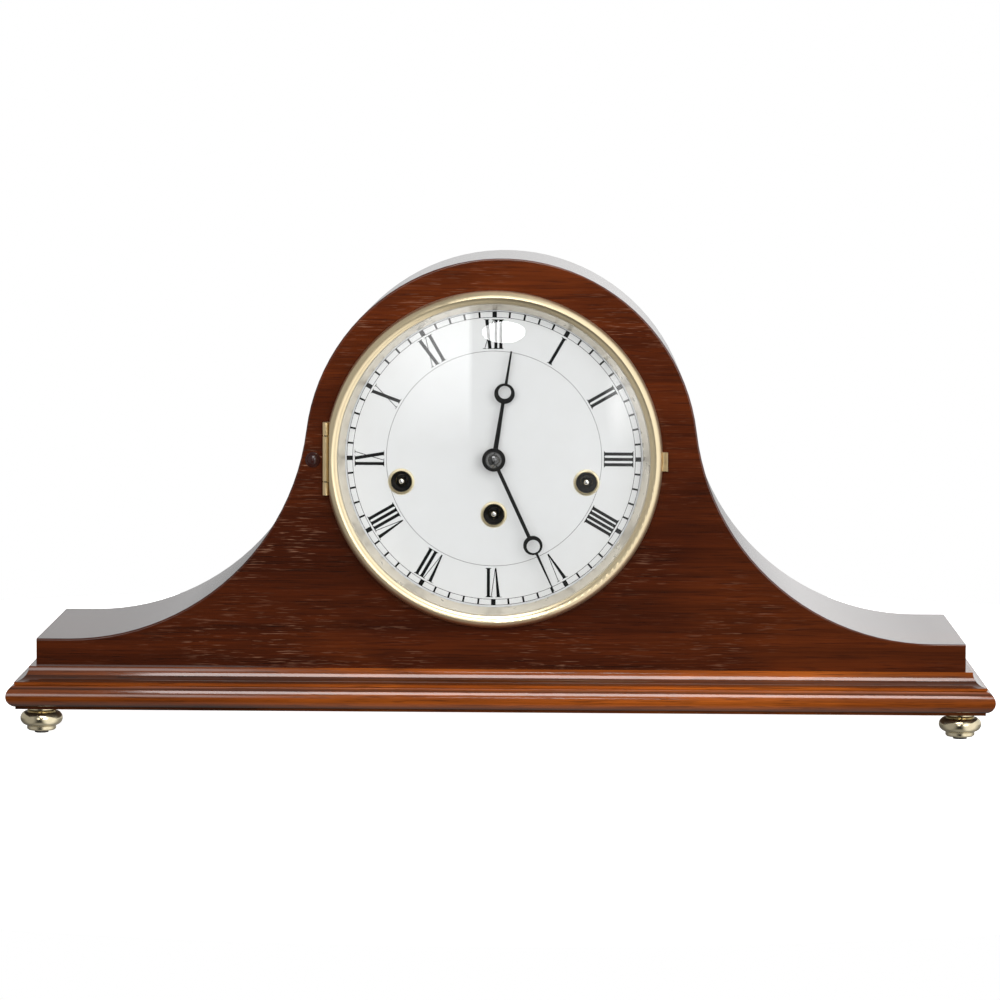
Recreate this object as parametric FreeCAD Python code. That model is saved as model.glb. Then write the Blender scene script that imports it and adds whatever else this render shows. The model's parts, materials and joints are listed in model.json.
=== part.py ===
"""Tambour mantel clock with a key-wound three-train chiming movement.

Millimetres, +Z up, +X to the right of the dial, the dial facing -Y.
The finished part has its origin at the centre of the base, on the surface the feet stand on.
While it is being built, y = 0 is the front face of the front panel; export() moves it to the origin.
"""

import FreeCAD
import Part

import math
import os

V = FreeCAD.Vector
ALONG_Y = V(0, 1, 0)

# ---- case: outline of the tambour front, seen from the front
CASE_WIDTH = 415.0
CASE_DEPTH = 118.0
ARCH_RADIUS = 87.5
ARCH_CENTRE_Z = 125.7
FLANK_RADIUS = 107.0
SHOULDER_Z = 42.4
CASE_FLOOR_Z = 30.3
PANEL_THICK = 10.0
SHELL_THICK = 5.0
PANEL_EDGE_ROUND = 0.8

# ---- base
BASE_WIDTH = 440.0
BASE_BOTTOM_Z = 11.6
BASE_FRONT_Y = -12.5
BASE_REAR_Y = 121.0
BASE_OVERHANG = 12.5
FOOT_X = 205.5
FOOT_INSET = 14.5
FOOT_RADIUS = 9.5
FOOT_STUD_RADIUS = 1.9
FOOT_STUD_LENGTH = 9.0
PAD_HEIGHT = 1.2
PAD_RADIUS = 3.1

# ---- dial and its axis
DIAL_X = -3.3
DIAL_Z = 123.9
DIAL_FRONT_Y = 4.0
DIAL_THICK = 0.8
DIAL_RADIUS = 70.0
PANEL_HOLE_RADIUS = 70.5
GROMMET_OUTER = 5.9
GROMMET_INNER = 4.7
DIAL_FOOT_RADIUS = 1.4
DIAL_FEET = [(0.0, 36.0), (-46.8, -27.0), (46.8, -27.0)]

# ---- winding arbors, (x, z) from the dial axis
WINDERS = {"strike": (-41.3, -10.5), "time": (0.0, -25.0), "chime": (41.3, -10.5)}
WINDER_TIP_Y = 6.0
WINDER_SQUARE = 4.0
WINDER_ACROSS = 2.5
WINDER_SQUARE_END_Y = 12.0
WINDER_BEARING = 2.4
WINDER_SHAFT = 3.0

# ---- bezel door
BEZEL_RADIUS = 75.0
BEZEL_REST_GAP = 0.3
BEZEL_CREST_RADIUS = 72.2
BEZEL_CREST_Y = -8.0
BEZEL_LIP_RADIUS = 69.6
GLASS_RADIUS = 70.4
GLASS_EDGE_Y = -5.9
GLASS_APEX_Y = -11.9
GLASS_THICK = 1.8
HINGE_X = -74.75
HINGE_Y = -1.9
KNUCKLE_RADIUS = 1.45
HINGE_PIN_RADIUS = 0.65
HINGE_HALF = 16.2
HINGE_MIDDLE_HALF = 10.0
KNUCKLE_GAP = 0.5
LEAF_THICK = 0.8
LEAF_EDGE_X = -71.2
BEZEL_FLAT_X = -72.95
BEZEL_FLAT_HALF = 20.0
RUNNING = 0.05
BUMPER_AT = (-80.5, -0.6)
BUMPER_STEM_RADIUS = 1.4
BUMPER_STEM_LENGTH = 5.0

# ---- hands: clockwise angles from twelve, in degrees
HOUR_ANGLE = 8.9
MINUTE_ANGLE = 155.2
HOUR_RING_AT, HOUR_LENGTH = 29.7, 48.8
MINUTE_RING_AT, MINUTE_LENGTH = 41.9, 64.3
HOUR_HAND_Y = -0.9
MINUTE_HAND_Y = -3.4
HAND_THICK = 0.6
NUT_APEX_Y = -7.6

# ---- movement
PLATE_HALF_WIDTH = 61.5
PLATE_TOP, PLATE_BOTTOM = 40.0, -54.0
FRONT_PLATE_Y = 14.0
REAR_PLATE_Y = 44.0
PLATE_THICK = 2.0
DRUM_FRONT_Y, DRUM_REAR_Y = 20.6, 39.6
DRUM_RADIUS = 17.0
GREAT_WHEEL_THICK = 2.2
MINUTE_SEAT_RADIUS = 1.3
CENTRE_SHAFT_RADIUS = 1.6
CANNON_PIPE_RADIUS = 2.0
HOUR_PIPE_RADIUS = 2.9
PIVOT_RADIUS = 1.0
TRAIN_MODULE = 0.4
GREAT_MODULE = 0.55
CANNON_MODULE = 0.6
PINION_TEETH = 12
GREAT_TEETH = 72
SIDE_GREAT_TEETH = 66
INTERMEDIATE_TEETH = 72
CENTRE_TEETH = 72
THIRD_TEETH = 60
THIRD_MODULE = 0.35
ESCAPE_TEETH = 15
ESCAPE_RADIUS = 5.0
MINUTE_WHEEL_TEETH = 36
HOUR_WHEEL_TEETH = 48
PRESSURE_ANGLE = math.radians(25)
ADDENDUM, DEDENDUM, BACKLASH = 0.8, 1.05, 0.12
THIRD_ANGLE = math.radians(60)
ESCAPE_ANGLE = math.radians(20)
MINUTE_WHEEL_ANGLE = math.radians(135)
BALANCE_AT = (34.0, 22.0)
BALANCE_RADIUS = 10.0
BALANCE_Y = 49.5
BALANCE_PIVOT_RADIUS = 0.6
PILLARS = [(-50.0, 26.0), (50.0, 26.0), (-50.0, -34.0), (50.0, -34.0)]
PILLAR_RADIUS = 3.0
RATCHET_TIP, RATCHET_ROOT, RATCHET_TEETH = 9.0, 7.9, 20
RATCHET_THICK = 1.8
CLICK_TIP, CLICK_PIVOT = (1.2, 9.25), (-8.0, 13.0)
CLICK_THICK = 1.6
CLICK_STUD_RADIUS = 1.3
STRAP_WIDTH, STRAP_THICK = 10.0, 1.5
SIDE_STRAP = (46.0, 70.5, 86.0)
TOP_STRAP = (30.0, 65.0, 78.0)
STRAPS = [(SIDE_STRAP, 0, (0.0, -36.0)), (SIDE_STRAP, 180, (0.0, -36.0)),
          (TOP_STRAP, 90, (-20.0, 0.0)), (TOP_STRAP, 90, (20.0, 0.0))]
SCREW_RADIUS, SCREW_LENGTH = 1.6, 9.4
SCREW_HEAD_RADIUS, SCREW_HEAD_HEIGHT = 3.2, 1.8

# ---- chime rods and hammers
ROD_COUNT = 4
ROD_PITCH = 5.6
ROD_FIRST_Y = 20.4
ROD_Z = 54.0
ROD_RADIUS = 1.6
ROD_NECK_RADIUS = 1.1
ROD_LENGTHS = [168.0, 154.0, 142.0, 131.0]
BLOCK_X0, BLOCK_X1 = -104.0, -86.0
BLOCK_MARGIN, BLOCK_LUG_DEPTH, BLOCK_LUG_HEIGHT = 7.0, 12.0, 6.0
HAMMER_PIVOT = (-12.0, -49.0)
HAMMER_REACH = 31.0
HAMMER_ARM_RADIUS = 0.8
HAMMER_HEAD_RADIUS, HAMMER_HEAD_LENGTH = 2.2, 9.5
HAMMER_TIP_RADIUS, HAMMER_TIP_LENGTH = 1.5, 2.5
HAMMER_HUB_RADIUS, HAMMER_HUB_LENGTH = 2.6, 4.4
HAMMER_ARBOR_RADIUS = 1.4
HAMMER_GAP = 1.3

# ---- back
BACK_Y = 110.0
BACK_THICK = 6.0
DOOR_HALF = 55.0
DOOR_BOTTOM_Z = 42.0
DOOR_SPRING_Z = 105.0
DOOR_GAP = 0.8
DOOR_THICK = 5.0
DOOR_HINGE_Z = (58.0, 92.0)
DOOR_HINGE_HALF = 9.0
DOOR_KNUCKLE_RADIUS = 1.5
DOOR_PIN_RADIUS = 0.7
KNOB_X, KNOB_Z = -46.0, 78.0
KNOB_STEM_RADIUS = 1.2
SLOT_ROWS = 6
SLOT_PITCH = 9.0
SLOT_HEIGHT = 3.0
SLOT_HALF_LENGTH = 30.0
SLOT_FIRST_Z = 68.0
CLOTH_MARGIN, CLOTH_THICK = 8.0, 0.6


# ---------------------------------------------------------------- helpers
def at_dial(x, z):
    """A place given from the dial axis, as (x, z) of the case."""
    return DIAL_X + x, DIAL_Z + z


def rod(x, y, z, radius, length):
    """A cylinder that runs along +Y from (x, y, z)."""
    return Part.makeCylinder(radius, length, V(x, y, z), ALONG_Y)


def rod_between(a, b, radius):
    """A cylinder from point a to point b."""
    return Part.makeCylinder(radius, (b - a).Length, a, b - a)


def block(x0, x1, y0, y1, z0, z1):
    return Part.makeBox(x1 - x0, y1 - y0, z1 - z0, V(x0, y0, z0))


def tube(x, y, z, outer, inner, length):
    return rod(x, y, z, outer, length).cut(rod(x, y - 1, z, inner, length + 2))


def line(a, b):
    return Part.LineSegment(a, b).toShape()


def arc(a, middle, b):
    return Part.Arc(a, middle, b).toShape()


def polygon(points):
    return Part.makePolygon(points + [points[0]])


def slab(wire, thickness):
    """The solid made by moving a closed outline in an XZ plane along +Y."""
    return Part.Face(Part.Wire(wire.Edges)).extrude(V(0, thickness, 0))


def turned(profile, x, z):
    """A solid of revolution about the Y line through (x, z); profile holds (radius, y) pairs."""
    points = [V(x + r, y, z) for r, y in profile]
    return Part.Face(polygon(points)).revolve(V(x, 0, z), ALONG_Y, 360)


def cap_arc(x, z, radius, rim_y, apex_y):
    """Half the outline of a round cap, from its rim to its apex on the Y line through (x, z)."""
    rise = rim_y - apex_y
    ball = (radius**2 + rise**2) / (2 * rise)
    half = math.asin(radius / ball) / 2
    middle = V(x + ball * math.sin(half), apex_y + ball - ball * math.cos(half), z)
    return arc(V(x + radius, rim_y, z), middle, V(x, apex_y, z))


def turned_about_y(edges, x, z):
    """A solid of revolution about the Y line through (x, z), from an outline that starts and ends on it."""
    closing = line(edges[-1].lastVertex(True).Point, edges[0].firstVertex(True).Point)
    return Part.Face(Part.Wire(edges + [closing])).revolve(V(x, 0, z), ALONG_Y, 360)


def turned_up(edges, x, y):
    """A solid of revolution about the vertical line through (x, y)."""
    return Part.Face(Part.Wire(edges)).revolve(V(x, y, 0), V(0, 0, 1), 360)


def polar(centre, radius, angle):
    """The point at radius and angle from centre, in the XZ plane."""
    return centre + V(radius * math.cos(angle), 0, radius * math.sin(angle))


def joined(first, *others):
    """One solid from pieces that touch or overlap."""
    return first.multiFuse(list(others)).removeSplitter()


def export(name, *solids):
    """Writes one node, moved from the building frame to the part's own frame."""
    group = solids[0] if len(solids) == 1 else Part.makeCompound(list(solids))
    group = group.copy()
    group.translate(V(0, -(BASE_FRONT_Y + BASE_REAR_Y) / 2, 0))
    for solid in group.Solids:
        if not solid.isValid() or solid.Volume <= 0:
            print("check", name, "valid", solid.isValid(), "volume", round(solid.Volume, 3))
    group.exportStep(os.path.join("parts", name + ".step"))


# ---------------------------------------------------------------- case
def tambour(inset, y, bottom):
    """The tambour outline, a round arch running into hollow flanks and level shoulders, set in by inset."""
    arch = V(0, y, ARCH_CENTRE_Z)
    flank_z = SHOULDER_Z + FLANK_RADIUS
    rise = flank_z - ARCH_CENTRE_Z
    flank_x = math.sqrt((ARCH_RADIUS + FLANK_RADIUS) ** 2 - rise**2)
    lean = math.atan2(rise, flank_x)
    arch_r, flank_r = ARCH_RADIUS - inset, FLANK_RADIUS + inset
    half, shoulder = CASE_WIDTH / 2 - inset, SHOULDER_Z - inset
    edges = [arc(polar(arch, arch_r, lean), polar(arch, arch_r, math.pi / 2),
                 polar(arch, arch_r, math.pi - lean)),
             line(V(-half, y, bottom), V(half, y, bottom))]
    flank = V(flank_x, y, flank_z)
    start, end = math.pi + lean, 1.5 * math.pi
    curve = [polar(flank, flank_r, angle) for angle in (start, (start + end) / 2, end)]
    for side in (1, -1):
        a, middle, b = [V(side * p.x, y, p.z) for p in curve]
        corner = V(side * half, y, shoulder)
        edges += [arc(a, middle, b), line(b, corner), line(corner, V(side * half, y, bottom))]
    return Part.Wire(Part.__sortEdges__(edges))


def front_panel():
    """The veneered front board, with the dial opening, the hinge mortise and its screw holes."""
    panel = slab(tambour(0, 0, CASE_FLOOR_Z), PANEL_THICK)
    front = [e for e in panel.Edges
             if abs(e.BoundBox.YMax) < 1e-6 and e.BoundBox.ZMin > CASE_FLOOR_Z + 1]
    panel = panel.makeFillet(PANEL_EDGE_ROUND, front)
    panel = panel.cut(rod(DIAL_X, -1, DIAL_Z, PANEL_HOLE_RADIUS, PANEL_THICK + 2))
    tall = HINGE_HALF + 0.2
    panel = panel.cut(block(DIAL_X + HINGE_X - 1.6, DIAL_X + LEAF_EDGE_X + 0.2, -1, LEAF_THICK + 0.1,
                            DIAL_Z - tall, DIAL_Z + tall))
    x, z = at_dial(*BUMPER_AT)
    panel = panel.cut(rod(x, -1, z, BUMPER_STEM_RADIUS, BUMPER_STEM_LENGTH + 1))
    for p in strap_screw_places():
        panel = panel.cut(rod(p.x, PANEL_THICK + STRAP_THICK - SCREW_LENGTH, p.z, SCREW_RADIUS, SCREW_LENGTH))
    return panel


def case_shell():
    """The bent plywood skin over the top and ends, open at the front, the back and the floor."""
    depth = CASE_DEPTH - PANEL_THICK
    outer = slab(tambour(0, PANEL_THICK, CASE_FLOOR_Z), depth)
    inner = slab(tambour(SHELL_THICK, PANEL_THICK - 1, CASE_FLOOR_Z - 1), depth + 2)
    return outer.cut(inner)


def moulding(place):
    """The base moulding's section: a ledge, a hollow, a fillet, a round nose and a foot fillet.

    place turns an overhang and a height into a point.
    """
    hollow_out, hollow_z, fillet_z = 9.0, 23.9, 22.6
    nose_r = 5.0
    nose_out = BASE_OVERHANG - nose_r
    start, ledge, end = place(0.0, CASE_FLOOR_Z), place(3.0, CASE_FLOOR_Z), place(0.0, BASE_BOTTOM_Z)
    hollow_middle, hollow = place(4.5, 26.1), place(hollow_out, hollow_z)
    fillet, nose_top = place(hollow_out, fillet_z), place(nose_out, fillet_z)
    foot_out = nose_out + 1.0
    nose_tip = place(BASE_OVERHANG, fillet_z - nose_r)
    nose_low = place(foot_out, fillet_z - nose_r - math.sqrt(nose_r**2 - (foot_out - nose_out)**2))
    foot = place(foot_out, BASE_BOTTOM_Z)
    return Part.Face(Part.Wire([
        line(start, ledge), arc(ledge, hollow_middle, hollow), line(hollow, fillet), line(fillet, nose_top),
        arc(nose_top, nose_tip, nose_low), line(nose_low, foot), line(foot, end), line(end, start)]))


def mitre_keep(side):
    """The space in front of the 45 degree mitre plane at one end of the front moulding."""
    half, reach = CASE_WIDTH / 2, 40.0
    points = [V(side * half, 0, 0), V(side * (half + reach), -reach, 0), V(-side * (half + reach), -reach, 0),
              V(-side * (half + reach), 0, 0)]
    return Part.Face(polygon(points)).extrude(V(0, 0, CASE_FLOOR_Z * 2))


def base_moulding_front():
    half = BASE_WIDTH / 2 + 5
    run = moulding(lambda out, z: V(-half, -out, z)).extrude(V(2 * half, 0, 0))
    return run.common(mitre_keep(1)).common(mitre_keep(-1))


def base_moulding_side(side):
    run = moulding(lambda out, z: V(side * (CASE_WIDTH / 2 + out), -30, z)).extrude(
        V(0, BASE_REAR_Y + 30, 0))
    return run.cut(mitre_keep(side))


def base_board():
    """The flat board inside the mouldings, bored for the foot studs; its back edge is bare."""
    half = CASE_WIDTH / 2
    board = block(-half, half, 0, BASE_REAR_Y, BASE_BOTTOM_Z, CASE_FLOOR_Z)
    for x, y in foot_places():
        board = board.cut(Part.makeCylinder(FOOT_STUD_RADIUS, FOOT_STUD_LENGTH, V(x, y, BASE_BOTTOM_Z)))
    x, y = block_screw_place()
    return board.cut(Part.makeCylinder(SCREW_RADIUS, SCREW_LENGTH, V(x, y, CASE_FLOOR_Z - SCREW_LENGTH)))


def foot_places():
    """(x, y) of the four feet, front left, front right, rear left, rear right."""
    front, rear = BASE_FRONT_Y + FOOT_INSET, BASE_REAR_Y - FOOT_INSET
    return [(-FOOT_X, front), (FOOT_X, front), (-FOOT_X, rear), (FOOT_X, rear)]


def foot(x, y):
    """A turned brass bun foot with its stud."""
    neck, waist, disc = 6.6, 6.0, 6.5
    inner_low, outer_low = V(x, y, PAD_HEIGHT), V(x + disc - 0.6, y, PAD_HEIGHT)
    disc_low, disc_top = V(x + disc, y, PAD_HEIGHT + 0.6), V(x + disc, y, 3.0)
    bun_low, bun, bun_top = V(x + 6.9, y, 3.4), V(x + FOOT_RADIUS, y, 6.5), V(x + 7.6, y, 9.5)
    waist_point, neck_low = V(x + waist, y, 9.9), V(x + neck, y, 10.6)
    neck_top, inner_top = V(x + neck, y, BASE_BOTTOM_Z), V(x, y, BASE_BOTTOM_Z)
    body = turned_up([
        line(inner_low, outer_low), line(outer_low, disc_low), line(disc_low, disc_top),
        line(disc_top, bun_low), arc(bun_low, bun, bun_top), line(bun_top, waist_point),
        line(waist_point, neck_low), line(neck_low, neck_top), line(neck_top, inner_top),
        line(inner_top, inner_low)], x, y)
    stud = Part.makeCylinder(FOOT_STUD_RADIUS, FOOT_STUD_LENGTH - 1, inner_top)
    return joined(body, stud)


def foot_pad(x, y):
    return Part.makeCylinder(PAD_RADIUS, PAD_HEIGHT, V(x, y, 0))


# ---------------------------------------------------------------- bezel door
def bezel_bumper():
    """The small domed stop beside the hinge, which the opened bezel comes to rest against."""
    x, z = at_dial(*BUMPER_AT)
    rim, step, rim_y, step_y, apex_y = 3.4, 2.3, -0.4, -0.9, -1.9
    points = [V(x, 0, z), V(x + rim, 0, z), V(x + rim, rim_y, z), V(x + step + 0.5, step_y, z),
              V(x + step, step_y, z)]
    edges = [line(a, b) for a, b in zip(points, points[1:])]
    head = turned_about_y(edges + [cap_arc(x, z, step, step_y, apex_y)], x, z)
    return joined(head, rod(x, 0, z, BUMPER_STEM_RADIUS, BUMPER_STEM_LENGTH))


def bezel_ring():
    """The polished brass ring: an outer roll, a crest, a rounded inner slope, a lip and a glass rebate."""
    back = -BEZEL_REST_GAP
    rebate = GLASS_RADIUS + 0.1
    p = [V(DIAL_X + r, y, DIAL_Z) for r, y in (
        (rebate, back), (BEZEL_RADIUS, back), (BEZEL_RADIUS, -2.6), (74.3, -6.0),
        (BEZEL_CREST_RADIUS, BEZEL_CREST_Y), (71.2, -7.75), (70.4, -7.0), (BEZEL_LIP_RADIUS, -6.5),
        (BEZEL_LIP_RADIUS, GLASS_EDGE_Y - 0.2), (rebate, GLASS_EDGE_Y))]
    edges = [line(p[0], p[1]), line(p[1], p[2]), arc(p[2], p[3], p[4]), arc(p[4], p[5], p[6])]
    edges += [line(a, b) for a, b in zip(p[6:], p[7:] + [p[0]])]
    ring = Part.Face(Part.Wire(edges)).revolve(V(DIAL_X, 0, DIAL_Z), ALONG_Y, 360)
    far = DIAL_X - BEZEL_RADIUS - 1
    flat = block(far, DIAL_X + BEZEL_FLAT_X, -20, 5, DIAL_Z - BEZEL_FLAT_HALF, DIAL_Z + BEZEL_FLAT_HALF)
    leaf = block(far, DIAL_X + LEAF_EDGE_X, back - LEAF_THICK, 5,
                 DIAL_Z - HINGE_MIDDLE_HALF, DIAL_Z + HINGE_MIDDLE_HALF)
    return ring.cut(flat).cut(leaf)


def dome(apex_y, edge_y, edge_radius):
    """The ball whose cap has this apex and edge."""
    sag = edge_y - apex_y
    radius = (edge_radius**2 + sag**2) / (2 * sag)
    return Part.makeSphere(radius, V(DIAL_X, apex_y + radius, DIAL_Z))


def bezel_glass():
    """The domed glass, a shallow cap of even thickness."""
    blank = rod(DIAL_X, GLASS_APEX_Y - 1, DIAL_Z, GLASS_RADIUS, GLASS_EDGE_Y + GLASS_THICK - GLASS_APEX_Y + 1)
    outer = dome(GLASS_APEX_Y, GLASS_EDGE_Y, GLASS_RADIUS)
    inner = dome(GLASS_APEX_Y + GLASS_THICK, GLASS_EDGE_Y + GLASS_THICK, GLASS_RADIUS)
    return blank.common(outer).cut(inner)


def bezel_sight_ring():
    """The sloping ring behind the glass, which holds it in and leads the eye down to the dial."""
    front = GLASS_EDGE_Y + GLASS_THICK
    outer = GLASS_RADIUS + 0.1
    return turned([(69.1, front), (outer, front), (outer, -1.0), (69.4, -0.3), (67.0, 2.6), (66.4, 2.6),
                   (66.4, 2.2)], DIAL_X, DIAL_Z)


def bezel_pull_tab():
    """The folded brass finger tab on the bezel's right edge, with a raised outer lip."""
    inner, outer, half = 74.3, 77.3, 4.2
    x, z = at_dial(0, -0.5)
    tab = block(x + inner, x + outer, -1.5, -0.9, z - half, z + half)
    lip = block(x + outer - 0.6, x + outer, -3.4, -0.9, z - half, z + half)
    return joined(tab, lip).cut(bezel_ring())


def knuckle(z0, z1):
    x, _ = at_dial(HINGE_X, 0)
    return Part.makeCylinder(KNUCKLE_RADIUS, z1 - z0, V(x, HINGE_Y, DIAL_Z + z0))


def bezel_hinge_case_leaf():
    """The hinge half let into the wood, with the two end knuckles."""
    x, low, high = DIAL_X + HINGE_X, DIAL_Z - HINGE_HALF, DIAL_Z + HINGE_HALF
    leaf = block(x - 1.2, DIAL_X + LEAF_EDGE_X, 0.05, 0.05 + LEAF_THICK, low, high)
    start = HINGE_MIDDLE_HALF + KNUCKLE_GAP
    parts = [leaf]
    for z0, z1 in ((start, HINGE_HALF), (-HINGE_HALF, -start)):
        web = block(x - 1.2, x + 0.2, HINGE_Y, 0.4, DIAL_Z + z0, DIAL_Z + z1)
        parts += [knuckle(z0, z1), web]
    pin = Part.makeCylinder(HINGE_PIN_RADIUS, 2 * HINGE_HALF + 2, V(x, HINGE_Y, DIAL_Z - HINGE_HALF - 1))
    return joined(*parts).cut(pin)


def bezel_hinge_pin():
    x = DIAL_X + HINGE_X
    return Part.makeCylinder(HINGE_PIN_RADIUS, 2 * HINGE_HALF, V(x, HINGE_Y, DIAL_Z - HINGE_HALF))


def bezel_hinge_door_leaf():
    """The hinge half fixed behind the bezel ring, with the long middle knuckle."""
    x = DIAL_X + HINGE_X
    half = HINGE_MIDDLE_HALF
    back = -BEZEL_REST_GAP
    leaf = block(x, DIAL_X + LEAF_EDGE_X, back - LEAF_THICK, back, DIAL_Z - half, DIAL_Z + half)
    bore = Part.makeCylinder(HINGE_PIN_RADIUS + RUNNING, 2 * half + 2, V(x, HINGE_Y, DIAL_Z - half - 1))
    return joined(knuckle(-half, half), leaf).cut(bore)


# ---------------------------------------------------------------- dial
def dial_plate():
    """The dial with its winding holes, centre hole and three feet riveted to the back."""
    plate = rod(DIAL_X, DIAL_FRONT_Y, DIAL_Z, DIAL_RADIUS, DIAL_THICK)
    plate = plate.cut(rod(DIAL_X, 0, DIAL_Z, HOUR_PIPE_RADIUS + 0.6, 10))
    for place in WINDERS.values():
        x, z = at_dial(*place)
        plate = plate.cut(rod(x, 0, z, GROMMET_INNER + 0.5, 10))
    start = DIAL_FRONT_Y + DIAL_THICK / 2
    feet = []
    for place in DIAL_FEET:
        x, z = at_dial(*place)
        feet.append(rod(x, start, z, DIAL_FOOT_RADIUS, FRONT_PLATE_Y - start))
    return joined(plate, *feet)


def winding_grommet(place):
    """A brass eyelet: a rounded flange on the dial and a short collar through it."""
    x, z = at_dial(*place)
    front, back = DIAL_FRONT_Y, DIAL_FRONT_Y + DIAL_THICK + 0.6
    collar = GROMMET_INNER + 0.5
    inner, outer = GROMMET_INNER, GROMMET_OUTER
    return turned([(inner, front - 0.3), (inner + 0.35, front - 0.7), (outer - 0.3, front - 0.6),
                   (outer, front - 0.2), (outer, front), (collar, front), (collar, back),
                   (inner, back)], x, z)


# ---------------------------------------------------------------- hands
def hand(y, angle_degrees, ring_at, length, ring_outer, ring_hole, widths, hub_radius, bore):
    """A pierced-ring hand lying at y: a tapering shank, an eye set towards the tip, and a fine point."""
    base, neck, out, tip = widths
    centre = V(DIAL_X, y, DIAL_Z)

    def bar(w0, at0, w1, at1):
        points = [V(DIAL_X - w0 / 2, y, DIAL_Z + at0), V(DIAL_X + w0 / 2, y, DIAL_Z + at0),
                  V(DIAL_X + w1 / 2, y, DIAL_Z + at1), V(DIAL_X - w1 / 2, y, DIAL_Z + at1)]
        return slab(polygon(points), HAND_THICK)

    shank = bar(base, 1.0, neck, ring_at - ring_outer + 0.4)
    point = bar(out, ring_at + ring_outer - 0.6, tip, length)
    eye = rod(DIAL_X, y, DIAL_Z + ring_at, ring_outer, HAND_THICK)
    hole = rod(DIAL_X, y - 1, DIAL_Z + ring_at + 0.35 * (ring_outer - ring_hole), ring_hole, HAND_THICK + 2)
    hub = rod(DIAL_X, y, DIAL_Z, hub_radius, HAND_THICK)
    made = joined(shank, point, eye, hub).cut(hole).cut(rod(DIAL_X, y - 1, DIAL_Z, bore, HAND_THICK + 2))
    made.rotate(centre, ALONG_Y, angle_degrees)
    return made


def hour_hand():
    blade = hand(HOUR_HAND_Y, HOUR_ANGLE, HOUR_RING_AT, HOUR_LENGTH, 4.55, 2.85, (2.3, 1.5, 1.3, 0.75), 4.9,
                 HOUR_PIPE_RADIUS)
    collet = tube(DIAL_X, HOUR_HAND_Y + HAND_THICK, DIAL_Z, HOUR_PIPE_RADIUS + 1.0, HOUR_PIPE_RADIUS, 1.6)
    return joined(blade, collet)


def minute_hand():
    blade = hand(MINUTE_HAND_Y, MINUTE_ANGLE, MINUTE_RING_AT, MINUTE_LENGTH, 4.3, 2.95,
                 (1.6, 1.6, 1.15, 0.5), 5.2, MINUTE_SEAT_RADIUS)
    collet = tube(DIAL_X, MINUTE_HAND_Y + HAND_THICK, DIAL_Z, 2.4, MINUTE_SEAT_RADIUS, 0.5)
    return joined(blade, collet)


def hand_nut():
    """The domed nut that holds the minute hand."""
    x, z = DIAL_X, DIAL_Z
    skirt, dome_radius = 3.6, 3.3
    skirt_y = MINUTE_HAND_Y - 1.3
    points = [V(x, MINUTE_HAND_Y, z), V(x + skirt, MINUTE_HAND_Y, z), V(x + skirt, skirt_y, z),
              V(x + dome_radius, skirt_y - 0.4, z)]
    edges = [line(a, b) for a, b in zip(points, points[1:])]
    nut = turned_about_y(edges + [cap_arc(x, z, dome_radius, skirt_y - 0.4, NUT_APEX_Y)], x, z)
    return nut.cut(rod(x, MINUTE_HAND_Y - 2.0, z, MINUTE_SEAT_RADIUS, 3))


# ---------------------------------------------------------------- gears
def involute(angle):
    return math.tan(angle) - angle


def gear(teeth, module, centre, phase, y, thickness):
    """A spur gear with straight-sided involute teeth; phase is the angle of one tooth's middle."""
    pitch = teeth * module / 2
    base, root, tip = pitch * math.cos(PRESSURE_ANGLE), pitch - DEDENDUM * module, pitch + ADDENDUM * module
    half = math.pi / (2 * teeth) - BACKLASH * module / (2 * pitch)

    def half_angle(radius):
        slope = math.acos(min(1.0, base / radius)) if radius > base else 0.0
        return half + involute(PRESSURE_ANGLE) - involute(slope)

    radii = [root] + ([base] if base > root else []) + [pitch, tip]
    points = []
    for tooth in range(teeth):
        middle = phase + 2 * math.pi * tooth / teeth
        points += [polar(centre, r, middle - half_angle(r)) for r in radii]
        points += [polar(centre, r, middle + half_angle(r)) for r in reversed(radii)]
    for p in points:
        p.y = y
    return slab(polygon(points), thickness)


def meshing_phase(teeth, partner_teeth, partner_phase, direction):
    """The phase that sets this gear's gap on its partner's tooth; direction points from the partner to it."""
    pitch = 2 * math.pi / partner_teeth
    behind = (direction - partner_phase) % pitch
    return direction + math.pi + behind * partner_teeth / teeth + math.pi / teeth


def spoked(wheel, centre, y, thickness, rim_inner, hub, spokes=5, width=1.6):
    """Cuts the openings between the spokes of a train wheel."""
    window = rod(centre.x, y - 1, centre.z, rim_inner, thickness + 2).cut(
        rod(centre.x, y - 2, centre.z, hub, thickness + 4))
    for k in range(spokes):
        angle = 2 * math.pi * k / spokes
        end = polar(centre, rim_inner + 1, angle)
        side = V(-math.sin(angle), 0, math.cos(angle)) * (width / 2)
        a, b = V(centre.x, y - 3, centre.z), V(end.x, y - 3, end.z)
        window = window.cut(slab(polygon([a + side, a - side, b - side, b + side]), thickness + 6))
    return wheel.cut(window)


def dial_point(x, z):
    return V(DIAL_X + x, 0, DIAL_Z + z)


CENTRE = dial_point(0, 0)
CENTRE_PHASE = math.pi / 2
MINUTE_WHEEL_AT = polar(CENTRE, CANNON_MODULE * (PINION_TEETH + MINUTE_WHEEL_TEETH) / 2, MINUTE_WHEEL_ANGLE)
HOUR_MODULE = CANNON_MODULE * (PINION_TEETH + MINUTE_WHEEL_TEETH) / (PINION_TEETH + HOUR_WHEEL_TEETH)
THIRD_AT = polar(CENTRE, TRAIN_MODULE * (PINION_TEETH + CENTRE_TEETH) / 2, THIRD_ANGLE)
ESCAPE_AT = polar(THIRD_AT, THIRD_MODULE * (PINION_TEETH + THIRD_TEETH) / 2, ESCAPE_ANGLE)


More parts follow.
